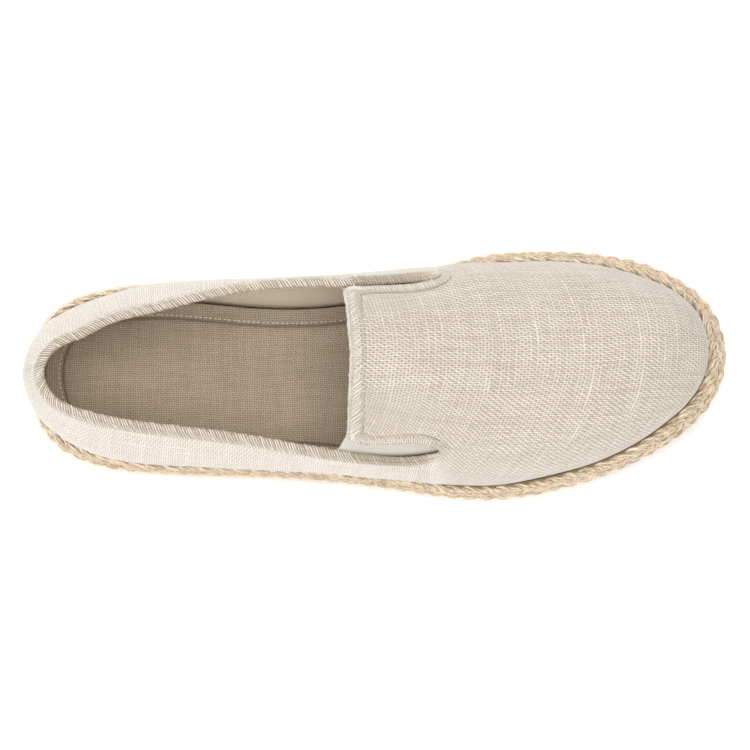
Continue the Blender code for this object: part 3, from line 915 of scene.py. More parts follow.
@dataclass(frozen=True)
class Weave(Finish):
    """A plain cloth of crossing threads of uneven thickness and tone, on the map named cloth.

    It reads two attributes: shade, how much painted shade falls on it, 1 under the stitches and
    along the upper's foot, and seam, the distance to a seam in mm, along which a dark line of
    painted shade is laid. Where its quarters are cut from cloth turned by a quarter, it reads two
    more: behind, above 0 on the quarters, and calm, how far the weave fades there.
    """

    rows: float = 0.88  # from thread to thread, in mm
    columns: float = 1.35
    gap: Colour = (0.285, 0.24, 0.17)  # between the threads
    under: Colour = (0.28, 0.225, 0.15)  # painted shade under and between the stitches
    calm: Colour = (0.735, 0.68, 0.62)  # where its threads turn
    depth: float = 0.24
    wander: float = 0.4
    crimp: float = 0.38
    column_weight: float = 0.68
    skew: float = 0.62  # how far the crowns of its rows lean
    slub: float = 0.16  # how far the thick stretches of its columns stand out
    roughen: float = 0.5  # how uneven its fibres are
    fleck: float = 1.0  # noise above this is a dark fleck
    quarters: bool = True  # whether its quarters are cut from cloth turned by a quarter

    def thread(self, across: Wire, along: Wire, tone: Wire, lean: float = 0.0) -> Wire:
        """Height of a set of threads that are crowned across and go over and under along.

        Args:
            across: Position across them, one thread in each whole number.
            along: Position along them, one crossing in each whole number.
            tone: How thick they are, about 0.5.
            lean: How far their crowns lean.

        Returns:
            The height.
        """
        side = across.math("FRACT") * 2.0 - 1.0
        crown = (side * side) * -1.0 + 1.0
        over = ((along + side * lean) * math.pi).math("COSINE")
        over = over * self.crimp + (1 - self.crimp)
        return crown * over * ((tone - 0.5) * 0.55 + 1.0)

    def position(self, made: Shader) -> tuple[Wire, Wire]:
        """The number of threads up to a point, which wander a little.

        Args:
            made: The material.

        Returns:
            Counts of columns and of rows.
        """
        u, v = made.map("cloth")
        if self.quarters:
            turned = made.value("behind").math("GREATER_THAN", 0.0)
            other_u, other_v = made.map("quarter")
            u, v = u + (other_u - u) * turned, v + (other_v - v) * turned
        place = made.vector(u, v)
        for scale, share in ((0.07, 4.0), (0.6, 0.75)):
            drift = made.grain(place, scale, output="Color")
            aside, ahead, _ = made.parts("ShaderNodeSeparateColor", Color=drift)
            u = u + (aside - 0.5) * (share * self.wander)
            v = v + (ahead - 0.5) * (share * self.wander)
        return u / self.columns, v / self.rows

    def dress(self, made: Shader) -> None:
        """Puts the cloth into a material.

        Args:
            made: The material.
        """
        u, v = self.position(made)
        column, row = u.math("FLOOR"), v.math("FLOOR")
        row_tone = made.grain(made.vector(u * 0.07, row * 3.71, 1.7), 1.0, 3.0, 0.6)
        column_tone = made.grain(made.vector(column * 4.13, v * 0.035, 9.2), 1.0, 3.0, 0.6)
        slub = column_tone.ramp(0.62, 0.7)
        row_height = self.thread(v, u - 0.5 + row, row_tone, self.skew)
        weight = slub * self.slub + self.column_weight
        column_height = self.thread(u, v + 0.5 + column, column_tone) * weight
        height = row_height.math("MAXIMUM", column_height)
        row_on_top = row_height.math("GREATER_THAN", column_height)
        tone = column_tone + (row_tone - column_tone) * row_on_top
        fibre = made.grain(made.vector(u * 1.1, v * 1.3, 4.0), 1.0, 2.0).ramp(0.28, 0.72)
        tone = tone.ramp(0.3, 0.6) * 0.5 + fibre * self.roughen
        cloth = made.blend(tone, self.dark, self.light)
        cloth = made.blend(height.ramp(0.1, 0.92), self.gap, cloth)
        if self.quarters:
            cloth = made.blend(made.value("calm"), cloth, self.calm)
        if self.fleck < 1.0:
            fleck = made.grain(made.vector(u * 0.45, v * 0.45, 8.0), 1.0, 0.0)
            cloth = made.blend(fleck.ramp(self.fleck, self.fleck + 0.04) * 0.6, cloth, self.gap)
        # Painted shade under the stitches, and at the upper's foot behind the braid.
        cloth = made.blend(made.value("shade") * 0.85, cloth, self.under)
        # A dark line of painted shade along the groove of each seam and of the footbed's crease.
        seam = made.value("seam").math("ABSOLUTE").ramp(0.1, 0.42, 1.0, 0.0)
        made.paint(made.blend(seam * 0.7, cloth, self.gap))
        made.bump(height - seam * 2.0, self.depth, 0.8)


@dataclass(frozen=True)
class Thread(Finish):
    """Sewing thread, a little different in tone from stitch to stitch."""

    roughness: float = 0.75
    sheen: float = 0.2

    def dress(self, made: Shader) -> None:
        """Puts the thread into a material.

        Args:
            made: The material.
        """
        fibre = made.grain(made.place(), 2600.0, 2.0)
        made.paint(made.blend(made.value("tone") * 0.45 + fibre * 0.55, self.dark, self.light))
        made.bump(fibre, 0.08)


@dataclass(frozen=True)
class Jute(Finish):
    """Jute yarn: fibres that wind round it, on the attributes along, cosine and sine."""

    roughness: float = 0.85
    sheen: float = 0.25

    def dress(self, made: Shader) -> None:
        """Puts the jute into a material.

        Args:
            made: The material.
        """
        along, cosine, sine = made.value("along"), made.value("cosine"), made.value("sine")
        ahead, aside = ((along * 0.55).math(name) for name in ("COSINE", "SINE"))
        wound_cosine, wound_sine = cosine * ahead + sine * aside, sine * ahead - cosine * aside
        fibre = made.grain(made.vector(along * 0.1, wound_cosine * 0.5, wound_sine * 0.5), 1.9, 2.0, 0.6)
        patch = made.grain(made.place(), 160.0, 2.0)
        ply = wound_cosine.math("ABSOLUTE")
        tone = fibre.ramp(0.41, 0.57) * 0.66 + patch.ramp(0.35, 0.65) * 0.16
        made.paint(made.blend(tone + made.value("tone") * 0.12 + ply * 0.06, self.dark, self.light))
        made.bump(fibre * 0.6 + ply.ramp(0.0, 0.5) * 0.4, 0.5)


@dataclass(frozen=True)
class Rubber(Finish):
    """Matt moulded rubber with a fine pebbled face."""

    roughness: float = 0.62
    pebble: float = 0.08  # depth of the pebbling, in mm

    def dress(self, made: Shader) -> None:
        """Puts the rubber into a material.

        Args:
            made: The material.
        """
        cells = made.wire("ShaderNodeTexVoronoi", {"feature": "SMOOTH_F1"}, Vector=made.place(), Scale=900.0)
        hollow = cells.ramp(0.0, 0.9)
        cloud = made.grain(made.place(), 60.0, 3.0)
        # The hollows between the pebbles are painted darker: painted shade.
        made.paint(made.blend((hollow * -0.4 + 0.7) + cloud * 0.3, self.dark, self.light))
        made.bump(hollow * -1.0 + 1.0, self.pebble, 0.7)


@dataclass(frozen=True)
class Elastic(Finish):
    """Woven elastic with fine ribs, on the map named cloth.

    It reads the attribute past_lip, the distance in mm from the quarter's lip that lies on it, by
    which it paints shade in the crevice under that lip.
    """

    roughness: float = 0.6
    sheen: float = 0.15
    crease: Colour = (0.19, 0.13, 0.07)  # painted shade in the crevice under that lip

    def dress(self, made: Shader) -> None:
        """Puts the elastic into a material.

        Args:
            made: The material.
        """
        u, v = made.map("cloth")
        rib, pick = v.wave(0.75), u.wave(0.55)
        cloud = made.grain(made.vector(u, v), 0.4, 2.0)
        band = made.blend(rib * 0.6 + pick * 0.15 + cloud * 0.3, self.dark, self.light)
        # Painted shade: dark at the quarter's lip, fading out over 2.4 mm.
        lit = made.value("past_lip").ramp(-0.1, 2.4).math("POWER", 0.45)
        made.paint(made.blend(lit, self.crease, band))
        made.bump(rib * 0.8 + pick * 0.2, 0.12, 0.6)


@dataclass(frozen=True)
class Twill(Finish):
    """A fine twill with diagonal ribs, on the map named cloth and the attribute shade."""

    roughness: float = 0.9
    sheen: float = 0.1
    pitch: float = 0.55  # from thread to thread, in mm

    def dress(self, made: Shader) -> None:
        """Puts the twill into a material.

        Args:
            made: The material.
        """
        u, v = made.map("cloth")
        drift = made.grain(made.vector(u, v), 0.09) * 1.6
        rib, pick = (u + v + drift).wave(self.pitch * 2), (v + drift).wave(self.pitch)
        cloud = made.grain(made.vector(u, v), 0.55, 3.0, 0.6)
        speckle = made.grain(made.vector(u * 0.6, v * 1.4), 1.6, 2.0).ramp(0.3, 0.7)
        tone = rib * 0.32 + pick * 0.26 + cloud * 0.22 + speckle * 0.26
        cloth = made.blend(tone, self.dark, self.light)
        # Painted shade, by the attribute shade; the lining is given none.
        made.paint(made.blend(made.value("shade") * 0.8, cloth, self.dark))
        made.bump(rib * 0.6 + pick * 0.4, 0.14, 0.7)


@dataclass(frozen=True)
class Paper(Finish):
    """A pale floor that stays as pale beyond the lamps as it is between them."""

    roughness: float = 0.9
    glow: tuple[float, float] = (0.55, 0.85)  # where it starts to glow, and where in full, in metres

    def dress(self, made: Shader) -> None:
        """Puts the floor into a material.

        Args:
            made: The material.
        """
        made.paint(self.light)
        x, y, _ = made.parts("ShaderNodeSeparateXYZ", Vector=made.place())
        plug((1.0, 1.0, 1.0), made.surface["Emission Color"])
        plug((x * x + y * y).math("SQRT").ramp(*self.glow), made.surface["Emission Strength"])


LINEN = Weave("linen", (0.80, 0.735, 0.665), (0.515, 0.45, 0.37), 0.92, 0.35)
CANVAS = Weave(
    "footbed",
    light=(0.53, 0.43, 0.335),
    dark=(0.355, 0.28, 0.20),
    roughness=0.93,
    sheen=0.1,
    rows=0.8,
    columns=0.84,
    gap=(0.22, 0.175, 0.12),
    under=(0.2, 0.155, 0.11),
    depth=0.12,
    wander=0.5,
    crimp=0.5,
    column_weight=0.85,
    skew=0.25,
    slub=0.0,
    roughen=0.55,
    fleck=0.78,
    quarters=False,
)
LINING = Twill("lining", (0.84, 0.735, 0.585), (0.56, 0.47, 0.34))
THREAD = Thread("thread", (0.90, 0.85, 0.78), (0.40, 0.335, 0.25))
# The slits' thread is a darker copy of the thread: painted shade of the stitches down in the slits.
SLIT_THREAD = Thread("slit_thread", (0.75, 0.685, 0.58), (0.25, 0.195, 0.115))
APRON_THREAD = Thread("apron_thread", (0.80, 0.75, 0.675), (0.55, 0.495, 0.42))
INSOLE_THREAD = Thread("insole_thread", (0.86, 0.77, 0.64), (0.66, 0.56, 0.44))
# Dark marks for needle holes: painted shade inside the holes.
NEEDLE_HOLE = Finish("needle_hole", (0.16, 0.12, 0.08))
JUTE = Jute("jute", (0.93, 0.79, 0.61), (0.24, 0.15, 0.07))
# A darker jute for the plait's core, which stands for its inner yarns: painted shade between the strands.
JUTE_CORE = Finish("jute_core", (0.33, 0.235, 0.135))
JUTE_FIBRE = Finish("jute_fibre", (0.90, 0.75, 0.55), roughness=0.8)
ELASTIC = Elastic("elastic", (0.57, 0.54, 0.485), (0.43, 0.40, 0.345))
FOAM = Rubber("foam_rubber", (0.78, 0.72, 0.62), (0.66, 0.60, 0.50))
TREAD = Rubber("tread_rubber", (0.52, 0.43, 0.30), (0.42, 0.34, 0.23), pebble=0.06)
FLOOR = Paper("floor", (0.97, 0.97, 0.97))


# ---- The upper ----


@dataclass
class RibPlan:
    """Where the ribs stand: the same stations along both sides, meeting in the toe's tip."""

    form: ShoeForm
    back: int = 112
    slit: int = 46
    front: int = 84
    toe: int = 34
    seam_half_gap: float = 0.15
    toe_reach: float = 14.0

    def __post_init__(self) -> None:
        """Finds the place of each rib on each side, from the heel to the toe's tip."""
        form = self.form
        slit_x = np.linspace(form.throat_x, form.slit_end_x, self.slit + 1)[:-1]
        fan_x = form.toe_centre_x + self.toe_reach
        self.station_x = np.concatenate([slit_x, np.linspace(form.slit_end_x, fan_x, self.front + 1)])
        self.half: dict[Side, Array] = {}
        for side, heel in ((Side.OUTER, self.seam_half_gap), (Side.INNER, form.round - self.seam_half_gap)):
            back = np.linspace(heel, form.place_at(form.throat_x, side), self.back + 1)[:-1]
            toe = np.linspace(form.place_at(fan_x, side), form.toe_place, self.toe + 1)[1:]
            self.half[side] = np.concatenate([back, form.place_at(self.station_x, side), toe])
        self.places = np.concatenate([self.half[Side.OUTER], self.half[Side.INNER][:-1][::-1]])
        self.count = len(self.places)
        self.slit_end = self.back + self.slit

    def column(self, station: Array, side: Side) -> Array:
        """The column of a station's rib in a ring of all the ribs."""
        return station if side is Side.OUTER else self.count - 1 - station


class ClothMap:
    """Where the threads of the upper's one piece of cloth run.

    The cloth lies straight along the top of the foot. Its cross threads fall back on both sides,
    and on the quarters all of it is turned, so that its rows run down towards the toe.
    """

    top_climb = 2.0  # the quarter's top edge
    mid_column = 84  # of the measured climbs, near the middle of the wall
    heel_run = 150.0  # cloth between the slit's end and the heel's seam, less that end's x

    def __init__(self, form: ShoeForm) -> None:
        """Measures the upper's ribs and its way round.

        Args:
            form: The shoe's form.
        """
        self.form = form
        self.places = np.linspace(0, form.round, 721)
        self.climbs = np.linspace(0, 3, 181)
        face = form.upper(self.places[:, None], self.climbs[None])
        self.up = run_length(face)
        self.along = run_length(face[:, self.mid_column])
        self.ridge_x = np.linspace(-140, 140, 561)
        rise = np.gradient(form.ridge(self.ridge_x)[:, 1], self.ridge_x)
        self.ridge_run = np.cumsum(np.sqrt(1 + rise**2)) * (self.ridge_x[1] - self.ridge_x[0])
        self.ridge_run -= np.interp(form.slit_end_x, self.ridge_x, self.ridge_run) - form.slit_end_x

    def height(self, place: Array, climb: Array) -> Array:
        """Length of the rib from the foot up to a climb.

        Args:
            place: Places round the edge.
            climb: A climb for each.

        Returns:
            The lengths.
        """
        column = place / self.form.round * (len(self.places) - 1)
        i = np.clip(column.astype(int), 0, len(self.places) - 2)
        k = climb / 3 * (len(self.climbs) - 1)
        j = np.clip(k.astype(int), 0, len(self.climbs) - 2)
        a, b = column - i, k - j
        low = self.up[i, j] * (1 - b) + self.up[i, j + 1] * b
        high = self.up[i + 1, j] * (1 - b) + self.up[i + 1, j + 1] * b
        return low * (1 - a) + high * a

    def __call__(self, place: Array, climb: Array, on_ring: bool) -> Pair:
        """Map coordinates, in mm of cloth.

        Args:
            place: Places round the edge.
            climb: Climbs on those ribs.
            on_ring: True on the quarters and the wall, False on the vamp above its shoulder.

        Returns:
            Pairs of coordinates along and across the rows, for the vamp's cloth and the quarters'.
        """
        form = self.form
        outline = form.sections(place)[..., 0]
        spine_x = form.spine_x(outline)
        ridge_y = form.ridge(spine_x)[..., 0]
        foot = form.edge_point(place, form.foot_inset(place))
        away = unit(foot - np.stack([spine_x, ridge_y], axis=-1))
        summit, top = np.full(place.shape, 3.0), np.full(place.shape, self.top_climb)
        reach = self.height(place, summit) - self.height(place, climb)
        along = np.interp(spine_x, self.ridge_x, self.ridge_run) + reach * away[..., 0]
        aside = np.abs(reach * away[..., 1])
        sign = np.where(place < form.toe_place, -1.0, 1.0)
        for side in Side if on_ring else ():
            slit_end, throat = (form.place_at(x, side) for x in (form.slit_end_x, form.throat_x))
            heel = 0.0 if side is Side.OUTER else form.round
            start, end, here = (np.interp(p, self.places, self.along) for p in (slit_end, heel, place))
            back = np.abs(here - start) * (form.slit_end_x + self.heel_run) / abs(end - start)
            behind = (sign == side.value) & (outline < form.slit_end_x)
            along = np.where(behind, form.slit_end_x - back, along)
            held = np.clip(place, *sorted((throat, form.toe_place)))
            edge = self.height(held, summit) - self.height(held, top)
            drop = self.height(place, top) - self.height(place, climb)
            aside = np.where(behind, edge + drop, aside)
        quarter = np.stack([aside * -0.87 * sign, along + 0.08 * aside], axis=-1)
        return self.threads(along, aside, sign), quarter

    @staticmethod
    def threads(along: Array, aside: Array, sign: Array) -> Array:
        """Turns lengths of cloth into lengths along the vamp's threads, which bend and crowd.

        Args:
            along: Lengths along the foot.
            aside: Lengths down its side.
            sign: That side.

        Returns:
            Pairs of coordinates.
        """
        steep = np.maximum(aside - 32, 0)
        fall = 0.0094 * (aside - steep) ** 2 + 0.6 * steep
        packed = 2.4 * (np.logaddexp(0, (aside - 18) / 10) - np.logaddexp(0, -1.8))
        turned = np.minimum(np.maximum(along, -10) - 45, 0)
        down = aside + packed + 0.82 * turned**2 / 110 * smoothstep(12, 30, aside)
        return np.stack([along + fall, down * sign], axis=-1)


@dataclass
class Hem:
    """A stitched edge: how it is rolled, and the seam that runs beside it."""

    seam: float  # from the edge to the seam
    roll: float  # how far the rolled lip reaches past the flat cloth
    lip: float  # thickness of the lip
    swell: float = 0.25
    groove: float = 0.3

    def lift(self, past: Array) -> Array:
        """Displacement of the cloth.

        Args:
            past: Distances past the seam, negative in the band.

        Returns:
            How far the cloth stands out.
        """
        band = smoothstep(-self.seam, 1.2 - self.seam, past) * (1 - smoothstep(-1.1, 0.0, past))
        ridge = np.exp(-(((past - 1.3) / 0.75) ** 2))
        return self.swell * (band + ridge) - self.groove * np.exp(-((past / 0.6) ** 2))

    def flat_inset(self, x: Array, slit_end: float) -> Array:
        """How far inside the true edge the flat cloth ends, which dies out at the slit's end."""
        end = np.clip((slit_end - x) / 2.4, 0, 1)
        return self.roll * np.sqrt(1 - (1 - end) ** 2)


@dataclass
class Upper:
    """Vamp and quarters: one shell of cloth with a lining, rolled and stitched round its opening."""

    form: ShoeForm
    ribs: RibPlan
    cloth: ClothMap
    wall_rows: int = 13
    side_rows: int = 26
    vamp_rows: int = 46
    roll_rows: int = 6
    collar: Hem = field(default_factory=lambda: Hem(seam=4.4, roll=1.2, lip=2.7, swell=0.16, groove=0.1))
    apron: Hem = field(default_factory=lambda: Hem(seam=4.2, roll=0.7, lip=1.7))
    slit_lip: float = 1.8
    apron_back_seam: float = 5.7
    apron_round: float = 2.4
    softness: float = 0.14
    far: float = 9.0  # stands for a seam that is nowhere near

    def ring_grid(self) -> Pair:
        """Lays out the wall and the quarters.

        Returns:
            Places and climbs, row by row.
        """
        form, ribs = self.form, self.ribs
        x = form.sections(ribs.places)[:, 0]
        outer = ribs.places < form.toe_place
        bow = np.where(outer, form.slit_bow(x, Side.OUTER), form.slit_bow(x, Side.INNER))
        top = form.climb_at_distance(ribs.places, -self.collar.flat_inset(x, form.slit_end_x) - bow)
        low = np.linspace(0, 1, self.wall_rows + 1)[:-1]
        rise = np.linspace(0, 1, self.side_rows)
        rise = 1.3 * rise - 0.3 * rise**2
        climbs = [np.full(ribs.count, c) for c in low] + [1 + (top - 1) * r for r in rise]
        return np.broadcast_to(ribs.places, (len(climbs), ribs.count)), np.array(climbs)

    def vamp_grid(self, side: Side) -> Pair:
        """Lays out one half of the vamp.

        Args:
            side: The half.

        Returns:
            Places and climbs, a row for each station.
        """
        form, x = self.form, self.ribs.station_x
        share = np.linspace(0, 1, self.vamp_rows) ** 1.12
        place, climb = form.apron_point(x, side, share)
        base, gap = form.place_at(x, side), form.slit_gap(x, side)
        inset = self.apron.flat_inset(x, form.slit_end_x)
        lift = form.climb_at_distance(base, gap + inset) - form.climb_at_distance(base, gap)
        climb = climb + lift[:, None] * (1 - share[None]) ** 6
        toe = self.ribs.half[side][self.ribs.back + len(x) :]
        if side is Side.INNER:
            toe = toe[:-1]
        toe_place, toe_climb = np.broadcast_arrays(toe[:, None], 2 + share[None])
        return np.concatenate([place, toe_place]), np.concatenate([climb, toe_climb])

    def build(self) -> None:
        """Makes the shell: its face, the relief of seams and waves, the lining and the rolled edge."""
        ribs = self.ribs
        blocks = [(*self.ring_grid(), True)]
        blocks += [(*self.vamp_grid(side), False) for side in Side]
        index, first = [], 0
        for place, _, _ in blocks:
            index.append(first + np.arange(place.size).reshape(place.shape))
            first += place.size
        ring, outer, inner = index
        top, stations = ring[-1], len(ribs.station_x)
        apron = stations - ribs.front - 1
        for side, grid in ((Side.OUTER, outer), (Side.INNER, inner)):
            joined = np.arange(ribs.slit_end, ribs.back + len(grid))
            grid[apron:, 0] = top[ribs.column(joined, side)]
        inner[:, -1] = outer[: len(inner), -1]
        outer[stations:, -1] = inner[stations:, -1] = outer[stations - 1, -1]
        inner = np.concatenate([inner, outer[-1:]])
        halves = grid_faces(outer.T).reshape(-1, 4), grid_faces(inner.T).reshape(-1, 4)[:, ::-1]
        faces = np.concatenate([grid_faces(ring, wrap=True).reshape(-1, 4), *halves])
        maps = [self.cloth(*block) for block in blocks]
        vamp_map, quarter_map = (np.concatenate([pair[k].reshape(-1, 2) for pair in maps]) for k in (0, 1))
        used_points, faces = np.unique(faces, return_inverse=True)
        self.faces = faces.reshape(-1, 4)
        self.maps = {"cloth": vamp_map[used_points], "quarter": quarter_map[used_points]}
        place, climb = (np.concatenate([block[k].ravel() for block in blocks])[used_points] for k in (0, 1))
        self.on_vamp = used_points >= ring.size
        self.edge = np.searchsorted(used_points, self.edge_loop(top, outer, inner, apron))
        self.thicken(self.form.upper(place, climb), climb)

    def edge_loop(self, top: Array, outer: Array, inner: Array, apron: int) -> Array:
        """Finds the way round the opening: the quarters from slit to slit round the heel, then the vamp.

        Args:
            top: Indices of the quarters' top row.
            outer: Indices of the vamp's outer half.
            inner: Those of its inner half.
            apron: How many of its stations stand free at a slit.

        Returns:
            Point indices.
        """
        ribs = self.ribs
        quarter_outer = top[: ribs.slit_end + 1]
        quarter_inner = top[ribs.column(np.arange(ribs.slit_end + 1), Side.INNER)]
        apron_outer = outer[:apron, 0][::-1]
        back = np.concatenate([outer[0, 1:], inner[0, 1:-1][::-1]])
        self.quarter_count = len(quarter_outer) + len(quarter_inner)
        self.back_start = self.quarter_count + len(apron_outer) - 1
        self.back_count = len(back) + 2
        return np.concatenate([quarter_inner[::-1], quarter_outer, apron_outer, back, inner[:apron, 0]])

    @staticmethod
    def nearest(points: Array, line: Array) -> Array:
        """Distances from points to a line.

        Args:
            points: The points.
            line: Points of the line.

        Returns:
            One distance for each point.
        """
        best = np.full(len(points), np.inf)
        for start in range(0, len(line), 24):
            gaps = np.linalg.norm(points[:, None] - line[None, start : start + 24], axis=-1)
            best = np.minimum(best, gaps.min(axis=1))
        return best

    def seam_distance(self, points: Array) -> tuple[Array, Array, Array]:
        """How points lie to the opening.

        Args:
            points: Points of the face.

        Returns:
            Distances from the edge, past its seam (negative in the band), and to the vamp's sides.
        """
        edge = points[self.edge]
        loop = np.concatenate([edge, edge[:1]])
        ends = self.back_start + self.back_count
        sides = np.concatenate([loop[self.quarter_count - 1 : self.back_start + 1], loop[ends - 1 :]])
        to_quarter = self.nearest(points, edge[: self.quarter_count])
        to_side, to_back = self.nearest(points, sides), self.nearest(points, edge[self.back_start : ends])
        c = self.apron_round
        side = self.apron.seam - self.apron.roll + c - to_side
        rear = self.apron_back_seam - self.apron.roll + c - to_back
        corner = np.where((side > 0) & (rear > 0), np.hypot(side, rear), np.maximum(side, rear))
        past = np.where(self.on_vamp, c - corner, to_quarter - (self.collar.seam - self.collar.roll))
        return np.where(self.on_vamp, np.minimum(to_side, to_back), to_quarter), past, to_side

    def marks(
        self, points: Array, climb: Array, past: Array, to_side: Array, heel: Array
    ) -> tuple[dict[str, Array], Array]:
        """What the linen reads at each point.

        Args:
            points: Points of the face.
            climb: Their climbs.
            past: Their distances past the seam.
            to_side: And to the vamp's sides.
            heel: And to the heel's seam.

        Returns:
            Its attributes by name, and its painted shade where it rolls over.
        """
        vamp, end, x = self.on_vamp, self.form.slit_end_x, points[:, 0]
        # Painted shade of the stitches: full on the quarters, a fifth of it past the slits' ends and a
        # quarter of it on the apron.
        roll_shade = np.where(vamp, 0.25, 1 - 0.8 * smoothstep(end - 7, end - 2, x))
        wider = np.where(points[:, 1] > 0, 1.3 * self.along_slit(x), 0)  # inner stitches reach further
        shade = np.clip(1 - smoothstep(-0.9, 0.1, past - wider), 0, 1) * roll_shade
        # Painted shadow along the upper's foot, where it tucks behind the braid.
        shade = np.maximum(shade, 1 - smoothstep(0.0, 0.2, climb))
        # Seam distances on the apron and down the heel, along which the linen paints a dark line of shade.
        seam = np.where(vamp, np.hypot(past, 0.3 * np.maximum(to_side - 7.5, 0)), self.far)
        seam = np.where((heel < 6) & ~vamp & (past > 0), heel + 0.25, seam)
        behind = np.where(vamp, -self.far, end - x)
        calm = 0.26 * smoothstep(-4.0, 26.0, behind) + 0.34 * np.exp(-((behind / 4.0) ** 2))
        calm = np.where(vamp, 0.0, calm) * np.where(behind > 0, 1, 1 - smoothstep(1.5, 2.0, climb))
        return {"shade": shade, "seam": seam, "behind": behind, "calm": calm}, roll_shade

    def along_slit(self, x: Array) -> Array:
        """A smooth rise from 0 at the throat to 1 near the slit's end."""
        return smoothstep(self.form.throat_x, self.form.slit_end_x - 8, x)

    def thicken(self, points: Array, climb: Array) -> None:
        """Gives the cloth its seams and softness, its lining, and the rolled edge between them.

        Args:
            points: The face of the cloth.
            climb: Climb of each point.
        """
        (from_edge, past, to_side), vamp, count = self.seam_distance(points), self.on_vamp, len(points)
        smooth = point_normals(points, self.faces)
        soft = self.undulation(self.maps["cloth"]) * smoothstep(1.0, 9.0, from_edge)
        lift = np.where(vamp, self.apron.lift(past), self.collar.lift(past)) + soft
        heel = self.heel_distance(points)
        lift += np.where((heel < 6) & ~vamp, 0.12 * np.exp(-(((heel - 1.3) / 0.8) ** 2)), 0)
        lift *= smoothstep(0.0, 0.5, climb)
        thin = self.collar.lip + (self.slit_lip - self.collar.lip) * self.along_slit(points[:, 0])
        lip = np.where(vamp, self.apron.lip, thin)
        wall = self.form.wall
        depth = wall + (lip - wall) * (1 - smoothstep(1.0, 4.0, from_edge))
        outside, inside = points + smooth * lift[:, None], points - smooth * depth[:, None]
        marks, roll_shade = self.marks(points, climb, past, to_side, heel)
        rolled = {**marks, "shade": roll_shade, "seam": np.full(count, self.far)}
        self.outside, self.past = outside, past
        self.edge_frames(outside, smooth)
        parts, edge = MeshParts(), self.edge
        parts.add_points(outside, self.maps, marks)
        parts.add_faces(self.faces, 0)
        parts.add_points(inside, self.maps, {**marks, "shade": np.zeros(count)})
        parts.add_faces(self.faces[:, ::-1] + count, 1)
        middle, half = (outside[edge] + inside[edge]) / 2, (outside[edge] - inside[edge]) / 2
        insets = (hem.flat_inset(outside[edge, 0], self.form.slit_end_x) for hem in (self.collar, self.apron))
        reach = np.where(np.arange(len(edge)) < self.quarter_count, *insets)
        rows = [edge]
        for k in range(1, self.roll_rows):
            turn = math.pi * k / self.roll_rows
            ring = middle + half * math.cos(turn) + reach[:, None] * self.edge_away * math.sin(turn)
            maps, data = ({name: every[edge] for name, every in kept.items()} for kept in (self.maps, rolled))
            rows.append(parts.add_points(ring, maps, data) + np.arange(len(edge)))
        rows.append(edge + count)
        foot = np.arange(self.ribs.count)
        for band in (rows, [foot, foot + count]):
            parts.add_faces(grid_faces(np.array(band), wrap=True)[:, :, ::-1], 0)
        finish_piece(parts.build("upper_cloth", LINEN, LINING), "linen", "upper")

    def heel_distance(self, points: Array) -> Array:
        """Distance to the seam down the middle of the heel.

        Args:
            points: Points of the face.

        Returns:
            One distance for each.
        """
        first, last = points[0, :2], points[self.ribs.count - 1, :2]
        aside = np.abs(((first + last) / 2 - points[:, :2]) @ unit(first - last))
        return np.where(points[:, 0] < self.form.heel_centre_x, aside, 99.0)

    def edge_frames(self, points: Array, normals: Array) -> None:
        """Keeps the directions out of the cloth, and away from it, at each point of its edge.

        Args:
            points: Points of the face.
            normals: Its normals there.
        """
        line = points[self.edge]
        run = unit(np.roll(line, -1, axis=0) - np.roll(line, 1, axis=0))
        self.edge_away = unit(np.cross(normals[self.edge], run))
        self.edge_out = unit(np.cross(run, self.edge_away))

    def offset_line(self, rows: slice, distance: float) -> Pair:
        """A line on the cloth beside part of its edge.

        Args:
            rows: Which of the edge's points.
            distance: How far the line lies from them.

        Returns:
            Points of the line and the directions out of the cloth, without those in a corner that
            the seam cuts.
        """
        tree = BVHTree.FromPolygons(self.outside.tolist(), self.faces.tolist())
        guide = self.outside[self.edge[rows]] - self.edge_away[rows] * distance
        hits = [tree.find_nearest(spot) for spot in guide.tolist()]
        kept = [hit for hit in hits if abs(self.past[self.faces[hit[2]]].mean()) < 0.8]
        return np.array([list(hit[0]) for hit in kept]), np.array([list(hit[1]) for hit in kept])

    def undulation(self, uv: Array) -> Array:
        """Soft waves of the cloth, a fraction of a millimetre high.

        Args:
            uv: Places on the cloth.

        Returns:
            A height for each.
        """
        u, v = uv[:, 0], uv[:, 1]
        wave = np.sin(u / 9.1 + 1.3 * np.sin(v / 17.0)) * np.sin(v / 11.3 + 0.8 * np.sin(u / 13.0) + 1.0)
        wave += 0.6 * np.sin(u / 5.3 + v / 8.7 + 2.0) * np.sin(v / 6.1 - u / 15.0)
        return self.softness * wave


@dataclass
class Stitch:
    """One stitch or fibre: points with X along the line and Z out of the cloth, and its radius."""

    line: Sequence[Sequence[float]]
    radius: float
    sides: int = 6
    taper: float = 0.55

    def build(self) -> Object:
        """Makes it as a closed tube that tapers at both ends.

        Returns:
            An object that is there to be copied.
        """
        line = np.asarray(self.line, float)
        run = unit(np.gradient(line, axis=0))
        side = unit(np.cross(run, [1.0, 0.0, 0.0]))
        up = np.cross(side, run)
        turns = (TURN * np.arange(self.sides) / self.sides)[None, :, None]
        radii = np.full(len(line), self.radius)
        radii[[0, -1]] *= self.taper
        around = np.cos(turns) * side[:, None] + np.sin(turns) * up[:, None]
        rings = line[:, None] + radii[:, None, None] * around
        index = np.arange(len(line) * self.sides).reshape(-1, self.sides)
        faces = grid_faces(index, wrap=True).reshape(-1, 4).tolist()
        faces += [index[0][::-1].tolist(), index[-1].tolist()]
        return clean_normals(mesh_object("stitch_pattern", rings.reshape(-1, 3), [], faces))


